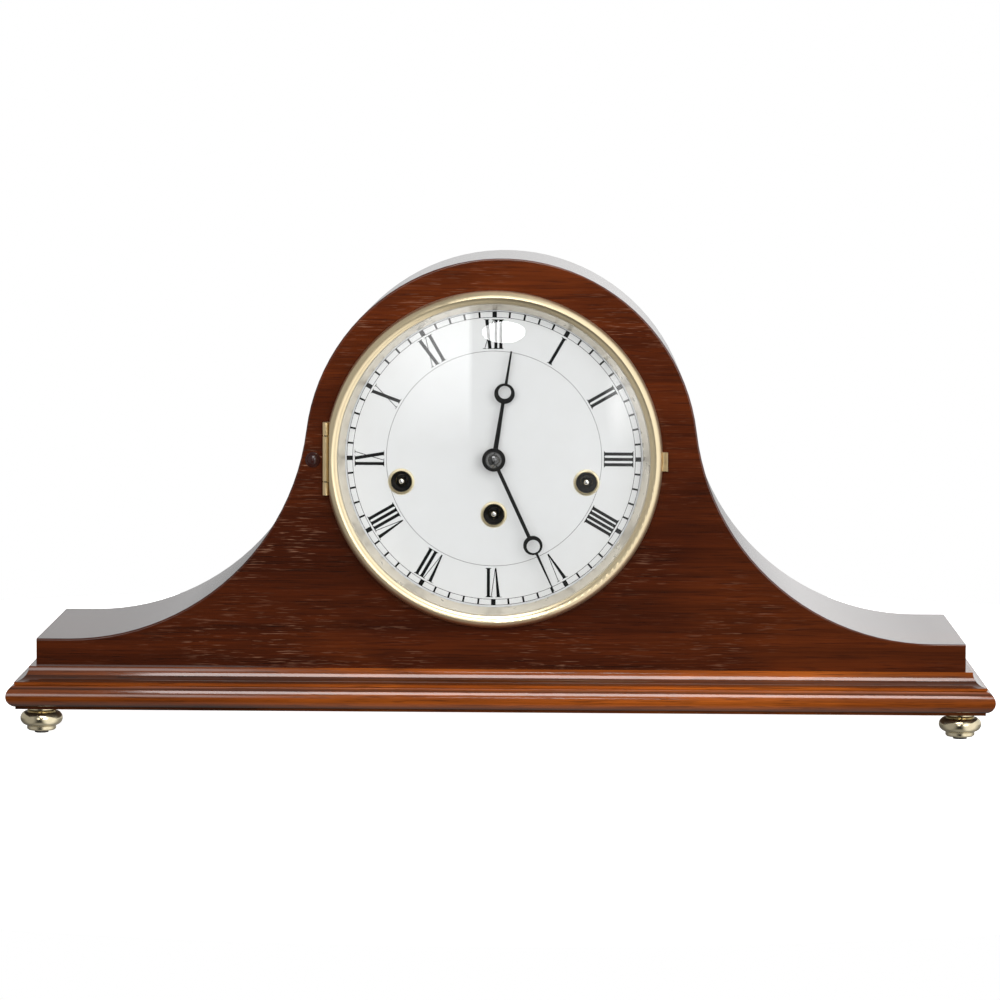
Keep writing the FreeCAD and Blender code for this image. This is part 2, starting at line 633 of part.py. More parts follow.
def intermediate_place():
    """Where the arbor lies that meshes with both the centre pinion and the time barrel."""
    to_centre = TRAIN_MODULE * (PINION_TEETH + INTERMEDIATE_TEETH) / 2
    to_barrel = GREAT_MODULE * (PINION_TEETH + GREAT_TEETH) / 2
    drop = -WINDERS["time"][1]
    z = (to_barrel**2 - to_centre**2 - drop**2) / (2 * drop)
    return dial_point(math.sqrt(to_centre**2 - z**2), z)


INTERMEDIATE_AT = intermediate_place()


def direction(a, b):
    return math.atan2(b.z - a.z, b.x - a.x)


def centre_arbor():
    """The minute hand's arbor: rear pivot, shaft, pinion, cannon pinion, pipe and the hand's seat."""
    cannon_y, pipe_y = 11.0, MINUTE_HAND_Y + HAND_THICK + 0.5
    shaft_y, seat_y = FRONT_PLATE_Y - 0.6, MINUTE_HAND_Y - 2.0
    rear = REAR_PLATE_Y - 0.3
    shaft = rod(DIAL_X, shaft_y, DIAL_Z, CENTRE_SHAFT_RADIUS, rear - shaft_y)
    pivot = rod(DIAL_X, rear, DIAL_Z, PIVOT_RADIUS, REAR_PLATE_Y + PLATE_THICK - rear)
    pinion = gear(PINION_TEETH, TRAIN_MODULE, CENTRE, CENTRE_PHASE, 16.7, 1.5)
    cannon = gear(PINION_TEETH, CANNON_MODULE, CENTRE, CENTRE_PHASE, cannon_y, shaft_y - cannon_y)
    pipe = rod(DIAL_X, pipe_y, DIAL_Z, CANNON_PIPE_RADIUS, shaft_y - pipe_y)
    seat = rod(DIAL_X, seat_y, DIAL_Z, MINUTE_SEAT_RADIUS, pipe_y + 1 - seat_y)
    return joined(shaft, pivot, pinion, cannon, pipe, seat)


def centre_wheel():
    y, thick = 18.6, 1.2
    wheel = gear(CENTRE_TEETH, TRAIN_MODULE, CENTRE, CENTRE_PHASE, y, thick)
    wheel = spoked(wheel, CENTRE, y, thick, 11.6, 4.0)
    return wheel.cut(rod(DIAL_X, y - 1, DIAL_Z, CENTRE_SHAFT_RADIUS, thick + 2))


def hour_wheel():
    """The hour wheel with its long pipe, which turns on the cannon pipe."""
    y, thick = 9.3, 1.2
    towards = direction(MINUTE_WHEEL_AT, CENTRE)
    phase = meshing_phase(HOUR_WHEEL_TEETH, PINION_TEETH, minute_wheel_phase(), towards)
    wheel = gear(HOUR_WHEEL_TEETH, HOUR_MODULE, CENTRE, phase, y, thick)
    pipe = rod(DIAL_X, HOUR_HAND_Y, DIAL_Z, HOUR_PIPE_RADIUS, y + thick - HOUR_HAND_Y)
    return joined(wheel, pipe).cut(rod(DIAL_X, -20, DIAL_Z, CANNON_PIPE_RADIUS + RUNNING, 60))


def minute_wheel_phase():
    return meshing_phase(MINUTE_WHEEL_TEETH, PINION_TEETH, CENTRE_PHASE, MINUTE_WHEEL_ANGLE)


def minute_wheel():
    """The motion work's wheel and pinion, cut in line with each other, on a stud in the front plate."""
    wheel = gear(MINUTE_WHEEL_TEETH, CANNON_MODULE, MINUTE_WHEEL_AT, minute_wheel_phase(), 11.5, 1.3)
    pinion = gear(PINION_TEETH, HOUR_MODULE, MINUTE_WHEEL_AT, minute_wheel_phase(), 8.9, 2.7)
    collar = rod(MINUTE_WHEEL_AT.x, 12.5, MINUTE_WHEEL_AT.z, 2.4, 1.0)
    bore = rod(MINUTE_WHEEL_AT.x, 0, MINUTE_WHEEL_AT.z, PIVOT_RADIUS + RUNNING, 30)
    return joined(wheel, pinion, collar).cut(bore)


def intermediate_phase():
    return meshing_phase(INTERMEDIATE_TEETH, PINION_TEETH, CENTRE_PHASE, direction(CENTRE, INTERMEDIATE_AT))


def arbor(place, radius=1.5):
    """A plain arbor between the plates with a reduced pivot at each end."""
    shaft = rod(place.x, FRONT_PLATE_Y + PLATE_THICK + 0.3, place.z, radius,
                REAR_PLATE_Y - FRONT_PLATE_Y - PLATE_THICK - 0.6)
    pivots = rod(place.x, FRONT_PLATE_Y, place.z, PIVOT_RADIUS, REAR_PLATE_Y - FRONT_PLATE_Y + PLATE_THICK)
    return [shaft, pivots]


def intermediate_wheel():
    """Between the time barrel and the centre arbor."""
    y, thick = 16.8, 1.2
    at = INTERMEDIATE_AT
    wheel = gear(INTERMEDIATE_TEETH, TRAIN_MODULE, at, intermediate_phase(), y, thick)
    wheel = spoked(wheel, at, y, thick, 11.6, 4.0)
    pinion = gear(PINION_TEETH, GREAT_MODULE, at, intermediate_phase(), DRUM_REAR_Y, 3.4)
    return joined(wheel, pinion, *arbor(at))


def third_phase():
    return meshing_phase(PINION_TEETH, CENTRE_TEETH, CENTRE_PHASE, THIRD_ANGLE)


def third_wheel():
    """Above the centre, driven by the centre wheel."""
    y, thick = 31.0, 1.2
    pinion = gear(PINION_TEETH, TRAIN_MODULE, THIRD_AT, third_phase(), 18.4, 1.7)
    wheel = gear(THIRD_TEETH, THIRD_MODULE, THIRD_AT, third_phase(), y, thick)
    return joined(spoked(wheel, THIRD_AT, y, thick, 8.4, 3.2), pinion, *arbor(THIRD_AT))


def toothed_disc(x, y, z, teeth, tip, root, thickness):
    """A wheel with slanted saw teeth, as on a ratchet or an escape wheel."""
    centre = V(x, y, z)
    points = []
    for k in range(teeth):
        angle = 2 * math.pi * k / teeth
        points += [polar(centre, tip, angle), polar(centre, root, angle + 0.04)]
    return slab(polygon(points), thickness)


def escape_wheel():
    """The escape wheel behind the rear plate, on a long arbor whose pinion the third wheel drives."""
    phase = meshing_phase(PINION_TEETH, THIRD_TEETH, third_phase(), ESCAPE_ANGLE)
    pinion = gear(PINION_TEETH, THIRD_MODULE, ESCAPE_AT, phase, 30.5, 2.2)
    x, y, z = ESCAPE_AT.x, REAR_PLATE_Y + PLATE_THICK + 1.2, ESCAPE_AT.z
    wheel = toothed_disc(x, y, z, ESCAPE_TEETH, ESCAPE_RADIUS, ESCAPE_RADIUS - 1.3, 0.8)
    end = rod(x, REAR_PLATE_Y, z, PIVOT_RADIUS, y + 1.2 - REAR_PLATE_Y)
    return joined(wheel, pinion, end, *arbor(ESCAPE_AT))


def barrel(name):
    """A going barrel: a drum with its great wheel, wound full."""
    x, z = at_dial(*WINDERS[name])
    at = V(x, 0, z)
    teeth, phase = SIDE_GREAT_TEETH, 0.0
    if name == "time":
        teeth = GREAT_TEETH
        phase = meshing_phase(GREAT_TEETH, PINION_TEETH, intermediate_phase(), direction(INTERMEDIATE_AT, at))
    wheel = gear(teeth, GREAT_MODULE, at, phase, DRUM_REAR_Y, GREAT_WHEEL_THICK)
    drum = rod(x, DRUM_FRONT_Y, z, DRUM_RADIUS, DRUM_REAR_Y - DRUM_FRONT_Y)
    return joined(wheel, drum).cut(rod(x, 0, z, WINDER_SHAFT + RUNNING, 60))


def winding_arbor(name):
    """Square-ended arbor through the barrel, with the ratchet wheel fixed on it behind the rear plate."""
    x, z = at_dial(*WINDERS[name])
    half, tip = WINDER_SQUARE / 2, WINDER_TIP_Y
    inner_front, inner_rear = FRONT_PLATE_Y + PLATE_THICK + 0.3, REAR_PLATE_Y - 0.3
    wheel_y = REAR_PLATE_Y + PLATE_THICK + 0.6
    square = block(x - half, x + half, tip, WINDER_SQUARE_END_Y, z - half, z + half)
    nose = Part.makeCone(1.3, WINDER_ACROSS, 1.0, V(x, tip, z), ALONG_Y)
    blunt = joined(nose, rod(x, tip + 1, z, WINDER_ACROSS, WINDER_SQUARE_END_Y - tip - 1))
    front = rod(x, WINDER_SQUARE_END_Y, z, WINDER_BEARING, inner_front - WINDER_SQUARE_END_Y)
    shaft = rod(x, inner_front, z, WINDER_SHAFT, inner_rear - inner_front)
    rear = rod(x, inner_rear, z, WINDER_BEARING, wheel_y + 1 - inner_rear)
    wheel = toothed_disc(x, wheel_y, z, RATCHET_TEETH, RATCHET_TIP, RATCHET_ROOT, RATCHET_THICK)
    boss = rod(x, wheel_y, z, 3.6, RATCHET_THICK + 1.8)
    return joined(square.common(blunt), front, shaft, rear, wheel, boss)


def click_pivot(name):
    return dial_point(WINDERS[name][0] + CLICK_PIVOT[0], WINDERS[name][1] + CLICK_PIVOT[1])


def ratchet_click(name):
    """The pawl above a ratchet wheel, lifted just clear of the teeth, as while winding."""
    y = REAR_PLATE_Y + PLATE_THICK + 0.6
    pivot = click_pivot(name)
    tip = dial_point(WINDERS[name][0] + CLICK_TIP[0], WINDERS[name][1] + CLICK_TIP[1])
    pivot.y, tip.y = y, y
    along = (pivot - tip).normalize()
    side = V(-along.z, 0, along.x)
    arm = slab(polygon([tip, tip - side * 1.2, pivot - side * 2.6, pivot + side * 2.6]), CLICK_THICK)
    eye = rod(pivot.x, y, pivot.z, 2.6, CLICK_THICK)
    return joined(arm, eye).cut(rod(pivot.x, y - 1, pivot.z, CLICK_STUD_RADIUS + RUNNING, CLICK_THICK + 2))


def click_stud(name):
    """The shouldered stud riveted in the rear plate that a click turns on."""
    at, y = click_pivot(name), REAR_PLATE_Y + PLATE_THICK
    shoulder = 0.6 + CLICK_THICK + 0.3
    head = rod(at.x, y + shoulder, at.z, 2.2, 0.8)
    return joined(rod(at.x, y - 0.5, at.z, CLICK_STUD_RADIUS, shoulder + 0.5), head)


def movement_plate(y, front):
    """One of the two brass plates, with its bearing holes."""
    w, top, bottom = PLATE_HALF_WIDTH, PLATE_TOP, PLATE_BOTTOM
    shoulder, hip = 16.0, 26.0
    outline = [(-w, bottom + hip), (-w + shoulder, bottom), (w - shoulder, bottom), (w, bottom + hip),
               (w, top - shoulder), (w - shoulder, top), (-w + shoulder, top), (-w, top - shoulder)]
    plate = slab(polygon([V(DIAL_X + px, y, DIAL_Z + pz) for px, pz in outline]), PLATE_THICK)
    holes = [(at, PIVOT_RADIUS + RUNNING) for at in (THIRD_AT, INTERMEDIATE_AT, ESCAPE_AT)]
    holes += [(dial_point(*place), WINDER_BEARING + RUNNING) for place in WINDERS.values()]
    holes.append((CENTRE, (CENTRE_SHAFT_RADIUS if front else PIVOT_RADIUS) + RUNNING))
    holes.append((dial_point(*HAMMER_PIVOT), HAMMER_ARBOR_RADIUS))
    if not front:
        holes.append((dial_point(*BALANCE_AT), BALANCE_PIVOT_RADIUS + RUNNING))
    for at, radius in holes:
        plate = plate.cut(rod(at.x, y - 1, at.z, radius, PLATE_THICK + 2))
    if not front:
        return joined(plate, *[click_stud(name) for name in WINDERS])
    stud_y = 8.7
    return joined(plate, rod(MINUTE_WHEEL_AT.x, stud_y, MINUTE_WHEEL_AT.z, PIVOT_RADIUS, y - stud_y + 0.5))


def plate_pillar(place):
    x, z = at_dial(*place)
    return rod(x, FRONT_PLATE_Y + PLATE_THICK, z, PILLAR_RADIUS, REAR_PLATE_Y - FRONT_PLATE_Y - PLATE_THICK)


def pillar_nut(place):
    """A hexagon nut on the rear plate."""
    x, z = at_dial(*place)
    centre = V(x, REAR_PLATE_Y + PLATE_THICK, z)
    return slab(polygon([polar(centre, 4.0, math.radians(60 * k)) for k in range(6)]), 2.2)


def movement_bracket(strap, degrees, shift):
    """A bent steel strap from the front plate to the back of the front panel, lying along degrees."""
    start, bend, end = strap
    low, high = PANEL_THICK, FRONT_PLATE_Y
    ramp = high - STRAP_THICK - low
    thick, slant = STRAP_THICK, 0.6
    points = [(start, high - thick), (bend, high - thick), (bend + ramp, low), (end, low),
              (end, low + thick), (bend + ramp + slant, low + thick), (bend + slant, high), (start, high)]
    outline = polygon([V(px, py, -STRAP_WIDTH / 2) for px, py in points])
    made = Part.Face(outline).extrude(V(0, 0, STRAP_WIDTH))
    made = made.cut(rod(strap_hole(strap), 0, 0, SCREW_RADIUS, 30))
    made.rotate(V(0, 0, 0), ALONG_Y, -degrees)
    made.translate(dial_point(*shift))
    return made


def strap_hole(strap):
    return strap[2] - 5.0


def strap_screw_places():
    """Where the straps' screws enter the front panel."""
    return [polar(dial_point(*shift), strap_hole(strap), math.radians(degrees))
            for strap, degrees, shift in STRAPS]


def screw(at, towards):
    """A slotted pan-head wood screw with the underside of its head at a point."""
    shank = Part.makeCylinder(SCREW_RADIUS, SCREW_LENGTH)
    head = Part.makeCylinder(SCREW_HEAD_RADIUS, SCREW_HEAD_HEIGHT, V(0, 0, -SCREW_HEAD_HEIGHT))
    slot = block(-SCREW_HEAD_RADIUS, SCREW_HEAD_RADIUS, -0.4, 0.4, -SCREW_HEAD_HEIGHT, -1.0)
    made = joined(shank, head).cut(slot)
    made.Placement = FreeCAD.Placement(at, FreeCAD.Rotation(V(0, 0, 1), towards))
    return made


def case_screws():
    """The screws of the movement's straps and of the chime block."""
    straps = [screw(V(p.x, PANEL_THICK + STRAP_THICK, p.z), -ALONG_Y) for p in strap_screw_places()]
    x, y = block_screw_place()
    return straps + [screw(V(x, y, CASE_FLOOR_Z + BLOCK_LUG_HEIGHT), V(0, 0, -1))]


# ---------------------------------------------------------------- balance
def balance_wheel():
    """The balance with its staff."""
    x, z = at_dial(*BALANCE_AT)
    rim = tube(x, BALANCE_Y, z, BALANCE_RADIUS, BALANCE_RADIUS - 1.4, 1.4)
    reach = BALANCE_RADIUS - 1
    arm = block(x - reach, x + reach, BALANCE_Y + 0.2, BALANCE_Y + 1.0, z - 1, z + 1)
    staff = rod(x, REAR_PLATE_Y + 0.2, z, BALANCE_PIVOT_RADIUS, 9.0)
    hub = rod(x, BALANCE_Y - 1, z, 2.0, 3)
    return joined(rim, arm, staff, hub)


def balance_bridge():
    """The cock that holds the balance's outer pivot."""
    x, z = at_dial(*BALANCE_AT)
    y = REAR_PLATE_Y + PLATE_THICK
    top = y + 7.6
    foot_z = z + BALANCE_RADIUS + 1.5
    post = block(x - 5, x + 5, y, top, foot_z, foot_z + 4.5)
    arm = block(x - 3, x + 3, top - 1.6, top, z - 3, foot_z + 4.5)
    return joined(post, arm).cut(rod(x, y - 1, z, BALANCE_PIVOT_RADIUS + RUNNING, 12))


# ---------------------------------------------------------------- chime
def rod_y(index):
    return ROD_FIRST_Y + ROD_PITCH * index


def block_screw_place():
    return (BLOCK_X0 + BLOCK_X1) / 2, rod_y(ROD_COUNT - 1) + BLOCK_MARGIN + BLOCK_LUG_DEPTH / 2


def chime_rod_block():
    """The cast iron block that carries the rods, screwed to the base."""
    y0, y1 = rod_y(0) - BLOCK_MARGIN, rod_y(ROD_COUNT - 1) + BLOCK_MARGIN
    body = block(BLOCK_X0, BLOCK_X1, y0, y1, CASE_FLOOR_Z, ROD_Z + BLOCK_MARGIN)
    lug = block(BLOCK_X0, BLOCK_X1, y1, y1 + BLOCK_LUG_DEPTH, CASE_FLOOR_Z, CASE_FLOOR_Z + BLOCK_LUG_HEIGHT)
    made = joined(body, lug)
    for k in range(ROD_COUNT):
        made = made.cut(Part.makeCylinder(ROD_NECK_RADIUS, 12, V(BLOCK_X1 - 10, rod_y(k), ROD_Z), V(1, 0, 0)))
    x, y = block_screw_place()
    return made.cut(Part.makeCylinder(SCREW_RADIUS, 20, V(x, y, CASE_FLOOR_Z - 5)))


def chime_rod(index):
    """A chime rod with a thin neck where it enters the block."""
    y = rod_y(index)
    neck = Part.makeCylinder(ROD_NECK_RADIUS, 16, V(BLOCK_X1 - 10, y, ROD_Z), V(1, 0, 0))
    body = Part.makeCylinder(ROD_RADIUS, ROD_LENGTHS[index], V(BLOCK_X1 + 5, y, ROD_Z), V(1, 0, 0))
    return joined(neck, body)


def hammer(index):
    """A hammer: hub on the arbor, wire arm and a brass head with a soft tip above its rod."""
    px, pz = at_dial(*HAMMER_PIVOT)
    y = rod_y(index)
    hub = rod(px, y - HAMMER_HUB_LENGTH / 2, pz, HAMMER_HUB_RADIUS, HAMMER_HUB_LENGTH)
    head_x = px - HAMMER_REACH
    tip_z = ROD_Z + ROD_RADIUS + HAMMER_GAP
    head_z = tip_z + HAMMER_TIP_LENGTH
    arm = rod_between(V(px, y, pz), V(head_x, y, head_z + 0.6 * HAMMER_HEAD_LENGTH), HAMMER_ARM_RADIUS)
    head = Part.makeCylinder(HAMMER_HEAD_RADIUS, HAMMER_HEAD_LENGTH, V(head_x, y, head_z))
    tip = Part.makeCylinder(HAMMER_TIP_RADIUS, HAMMER_TIP_LENGTH, V(head_x, y, tip_z))
    bore = rod(px, y - 5, pz, HAMMER_ARBOR_RADIUS + RUNNING, 10)
    return joined(hub, arm, head, tip).cut(bore)


def hammer_arbor():
    px, pz = at_dial(*HAMMER_PIVOT)
    return rod(px, FRONT_PLATE_Y, pz, HAMMER_ARBOR_RADIUS, REAR_PLATE_Y + PLATE_THICK - FRONT_PLATE_Y)


# ---------------------------------------------------------------- back
def door_outline(inset, y):
    """The door's outline: upright sides and a round top."""
    half, bottom = DOOR_HALF - inset, DOOR_BOTTOM_Z + inset
    top = V(0, y, DOOR_SPRING_Z + half)
    left, right = V(-half, y, DOOR_SPRING_Z), V(half, y, DOOR_SPRING_Z)
    return Part.Wire([line(V(-half, y, bottom), V(half, y, bottom)), line(V(half, y, bottom), right),
                      arc(right, top, left), line(left, V(-half, y, bottom))])


def back_frame():
    """The board that closes the back, set in the shell, with the door's opening."""
    board = slab(tambour(SHELL_THICK, BACK_Y, CASE_FLOOR_Z), BACK_THICK)
    return board.cut(slab(door_outline(0, BACK_Y - 1), BACK_THICK + 2))


def back_door():
    """The inset back door, with rows of sound slots and the knob's hole."""
    y = BACK_Y + BACK_THICK - DOOR_THICK
    door = slab(door_outline(DOOR_GAP, y), DOOR_THICK).cut(rod(KNOB_X, y - 1, KNOB_Z, KNOB_STEM_RADIUS, 20))
    for row in range(SLOT_ROWS):
        z, half = SLOT_FIRST_Z + SLOT_PITCH * row, SLOT_HEIGHT / 2
        bar = block(-SLOT_HALF_LENGTH, SLOT_HALF_LENGTH, y - 1, y + DOOR_THICK + 1, z - half, z + half)
        ends = [rod(x, y - 1, z, half, DOOR_THICK + 2) for x in (-SLOT_HALF_LENGTH, SLOT_HALF_LENGTH)]
        door = door.cut(joined(bar, *ends))
    return door


def door_cloth():
    """The sound cloth glued over the slots inside the door."""
    y = BACK_Y + BACK_THICK - DOOR_THICK - CLOTH_THICK
    half = SLOT_HALF_LENGTH + CLOTH_MARGIN
    top = SLOT_FIRST_Z + SLOT_PITCH * (SLOT_ROWS - 1) + CLOTH_MARGIN
    return block(-half, half, y, y + CLOTH_THICK, SLOT_FIRST_Z - CLOTH_MARGIN, top)


DOOR_HINGE_X = DOOR_HALF - DOOR_GAP / 2
DOOR_HINGE_Y = BACK_Y + BACK_THICK + DOOR_KNUCKLE_RADIUS + 0.1


def door_knuckle(z, z0, z1):
    return Part.makeCylinder(DOOR_KNUCKLE_RADIUS, z1 - z0, V(DOOR_HINGE_X, DOOR_HINGE_Y, z + z0))


def door_hinge_leaf(z, side, spans, bore):
    """One leaf of a small back hinge, on the outside face; side is +1 on the frame and -1 on the door."""
    y0 = BACK_Y + BACK_THICK
    half = DOOR_HINGE_HALF
    reach = side * 11.0
    gap = side * 1.8
    x = [DOOR_HINGE_X + gap, DOOR_HINGE_X + reach]
    leaf = block(min(x), max(x), y0, y0 + 0.8, z - half, z + half)
    parts = [leaf]
    for z0, z1 in spans:
        link = sorted([DOOR_HINGE_X, DOOR_HINGE_X + gap + side * 0.2])
        parts += [door_knuckle(z, z0, z1), block(link[0], link[1], y0 + 0.1, y0 + 0.8, z + z0, z + z1)]
    pin = Part.makeCylinder(bore, 2 * half + 4, V(DOOR_HINGE_X, DOOR_HINGE_Y, z - half - 2))
    return joined(*parts).cut(pin)


def door_knob():
    """A small turned brass knob on the door's free side."""
    y = BACK_Y + BACK_THICK
    stem = KNOB_STEM_RADIUS
    return turned([(0, y - 3), (stem, y - 3), (stem, y), (3.0, y), (3.0, y + 0.6), (1.8, y + 1.2),
                   (2.6, y + 2.2), (3.2, y + 3.2), (2.6, y + 4.2), (0, y + 4.5)], KNOB_X, KNOB_Z)


# ---------------------------------------------------------------- all the nodes
def export_case():
    export("front_panel", front_panel())
    export("case_shell", case_shell())
    export("base_board", base_board())
    export("base_moulding_front", base_moulding_front())
    export("base_moulding_left", base_moulding_side(-1))
    export("base_moulding_right", base_moulding_side(1))
    places = foot_places()
    export("front_feet", *[foot(x, y) for x, y in places[:2]])
    export("rear_feet", *[foot(x, y) for x, y in places[2:]])
    export("foot_pads", *[foot_pad(x, y) for x, y in places])
    export("case_screws", *case_screws())
    export("back_frame", back_frame())


def export_bezel_and_dial():
    export("bezel_bumper", bezel_bumper())
    export("bezel_hinge_case_leaf", bezel_hinge_case_leaf())
    export("bezel_hinge_pin", bezel_hinge_pin())
    export("bezel_hinge_door_leaf", bezel_hinge_door_leaf())
    export("bezel_ring", bezel_ring())
    export("bezel_glass", bezel_glass())
    export("bezel_sight_ring", bezel_sight_ring())
    export("bezel_pull_tab", bezel_pull_tab())
    export("dial_plate", dial_plate())
    export("winding_grommets", *[winding_grommet(place) for place in WINDERS.values()])
    export("hour_hand", hour_hand())
    export("minute_hand", minute_hand())
    export("hand_nut", hand_nut())


def export_movement():
    export("movement_front_plate", movement_plate(FRONT_PLATE_Y, True))
    export("movement_rear_plate", movement_plate(REAR_PLATE_Y, False))
    export("plate_pillars", *[plate_pillar(place) for place in PILLARS])
    export("pillar_nuts", *[pillar_nut(place) for place in PILLARS])
    export("movement_brackets", *[movement_bracket(*strap) for strap in STRAPS])
    export("centre_arbor", centre_arbor())
    export("centre_wheel", centre_wheel())
    export("hour_wheel", hour_wheel())
    export("minute_wheel", minute_wheel())
    export("intermediate_wheel", intermediate_wheel())
    export("third_wheel", third_wheel())
    export("escape_wheel", escape_wheel())
    export("balance_wheel", balance_wheel())
    export("balance_bridge", balance_bridge())
    for name in WINDERS:
        export(name + "_barrel", barrel(name))
        export(name + "_winding_arbor", winding_arbor(name))
        export(name + "_ratchet_click", ratchet_click(name))


def export_chime():
    export("chime_rod_block", chime_rod_block())
    export("chime_rods", *[chime_rod(k) for k in range(ROD_COUNT)])
    export("hammer_arbor", hammer_arbor())
    for k in range(ROD_COUNT):
        export(f"hammer_{k + 1}", hammer(k))


def export_back_door():
    half = DOOR_HINGE_HALF
    middle = half / 3
    ends = [(-half, -middle - 0.2), (middle + 0.2, half)]
    export("back_door", back_door())
    export("door_cloth", door_cloth())
    export("door_knob", door_knob())
    export("door_hinge_frame_leaves",
           *[door_hinge_leaf(z, 1, ends, DOOR_PIN_RADIUS) for z in DOOR_HINGE_Z])
    export("door_hinge_door_leaves",
           *[door_hinge_leaf(z, -1, [(-middle, middle)], DOOR_PIN_RADIUS + RUNNING) for z in DOOR_HINGE_Z])
    export("door_hinge_pins", *[Part.makeCylinder(
        DOOR_PIN_RADIUS, 2 * half, V(DOOR_HINGE_X, DOOR_HINGE_Y, z - half)) for z in DOOR_HINGE_Z])


os.makedirs("parts", exist_ok=True)
export_case()
export_bezel_and_dial()
export_movement()
export_chime()
export_back_door()
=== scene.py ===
"""The looks of a tambour mantel clock: materials, the printed dial, the sound cloth and a plain studio."""
import json
import math

import bmesh
import bpy
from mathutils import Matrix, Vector


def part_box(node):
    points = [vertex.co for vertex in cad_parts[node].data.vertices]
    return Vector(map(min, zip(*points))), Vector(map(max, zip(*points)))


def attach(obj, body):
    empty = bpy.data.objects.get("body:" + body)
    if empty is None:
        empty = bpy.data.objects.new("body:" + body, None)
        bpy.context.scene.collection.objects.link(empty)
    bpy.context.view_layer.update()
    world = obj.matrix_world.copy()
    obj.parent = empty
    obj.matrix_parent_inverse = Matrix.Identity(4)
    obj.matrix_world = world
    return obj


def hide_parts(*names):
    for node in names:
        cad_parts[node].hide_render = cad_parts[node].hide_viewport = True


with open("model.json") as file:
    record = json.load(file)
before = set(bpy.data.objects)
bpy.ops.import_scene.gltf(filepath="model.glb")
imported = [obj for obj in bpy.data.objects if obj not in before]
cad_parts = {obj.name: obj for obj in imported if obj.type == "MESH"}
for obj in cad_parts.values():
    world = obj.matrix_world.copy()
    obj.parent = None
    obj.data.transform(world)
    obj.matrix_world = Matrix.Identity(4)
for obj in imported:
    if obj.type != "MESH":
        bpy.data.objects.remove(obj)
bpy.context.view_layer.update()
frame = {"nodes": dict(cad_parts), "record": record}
for plain in list(bpy.data.materials):
    bpy.data.materials.remove(plain)

MM = 0.001

# ---------------------------------------------------------------------------
# Node helpers
# ---------------------------------------------------------------------------


def new_material(name, **sockets):
    """A node material whose Principled sockets hold the given plain values."""
    material = bpy.data.materials.new(name)
    material.use_nodes = True
    shader = material.node_tree.nodes["Principled BSDF"]
    for socket, value in sockets.items():
        shader.inputs[socket.replace("_", " ")].default_value = value
    return material.node_tree, shader


def add(tree, kind, inputs=None, **settings):
    """Adds a node; an input that is a socket gets linked, and any other is set."""
    made = tree.nodes.new("ShaderNode" + kind)
    for setting, value in settings.items():
        setattr(made, setting, value)
    for socket, value in (inputs or {}).items():
        if isinstance(value, bpy.types.NodeSocket):
            tree.links.new(value, made.inputs[socket])
        else:
            made.inputs[socket].default_value = value
    return made


def place(tree, scale, turn=(0, 0, 0)):
    """The row-frame position in metres, turned and then scaled per axis."""
    where = add(tree, "TexCoord").outputs["Object"]
    mapping = add(tree, "Mapping", {"Vector": where, "Rotation": turn, "Scale": scale})
    return mapping.outputs["Vector"]


def noise(tree, vector, detail=4.0, rough=0.5, bend=0.0, size=1.0):
    made = add(tree, "TexNoise", {"Vector": vector, "Scale": size, "Detail": detail,
                                  "Roughness": rough, "Distortion": bend})
    return made.outputs["Fac"]


def spread(tree, value, low, high, to_low=0.0, to_high=1.0):
    """Maps low..high to to_low..to_high, and holds the ends."""
    made = add(tree, "MapRange", {"Value": value, "From Min": low, "From Max": high,
                                  "To Min": to_low, "To Max": to_high})
    return made.outputs["Result"]


def maths(tree, operation, first, second=0.0):
    made = add(tree, "Math", {0: first, 1: second}, operation=operation)
    return made.outputs["Value"]


def blend(tree, factor, first, second, mode="MIX"):
    made = add(tree, "Mix", data_type="RGBA", blend_type=mode)
    for socket, value in ((0, factor), (6, first), (7, second)):
        if isinstance(value, bpy.types.NodeSocket):
            tree.links.new(value, made.inputs[socket])
        else:
            made.inputs[socket].default_value = value
    return made.outputs[2]


def pulse(tree, value, low, high, soft):
    """One between low and high, fading to nothing over soft on each side."""
    rise = spread(tree, value, low - soft, low)
    fall = spread(tree, value, high, high + soft, 1.0, 0.0)
    return maths(tree, "MULTIPLY", rise, fall)


def shaded(tree, tone, shade):
    """The tone multiplied by a grey level, which may pass one to lighten it."""
    grey = add(tree, "CombineColor", {0: shade, 1: shade, 2: shade}).outputs[0]
    return blend(tree, 1.0, tone, grey, "MULTIPLY")


def relief(tree, shader, height, depth, strength, normal="Normal"):
    made = add(tree, "Bump", {"Height": height, "Distance": depth, "Strength": strength})
    tree.links.new(made.outputs["Normal"], shader.inputs[normal])


def feed(tree, shader, **sockets):
    for socket, value in sockets.items():
        tree.links.new(value, shader.inputs[socket.replace("_", " ")])


# ---------------------------------------------------------------------------
# Wood
# ---------------------------------------------------------------------------

ALONG_X = (0, 0, 0)
ALONG_Y = (0, 0, math.radians(90))
PORE_TONE = (0.010, 0.0030, 0.0015, 1)
GLINT_TONE = (0.25, 0.125, 0.075, 1)
# Heights between which the painted light falloff runs.
FALLOFF_BOTTOM, FALLOFF_TOP = 0.06, 0.19
# Where the painted end shade starts and stops along x.
LEFT_END, LEFT_INNER, RIGHT_INNER, RIGHT_END = -0.20, -0.02, 0.12, 0.21


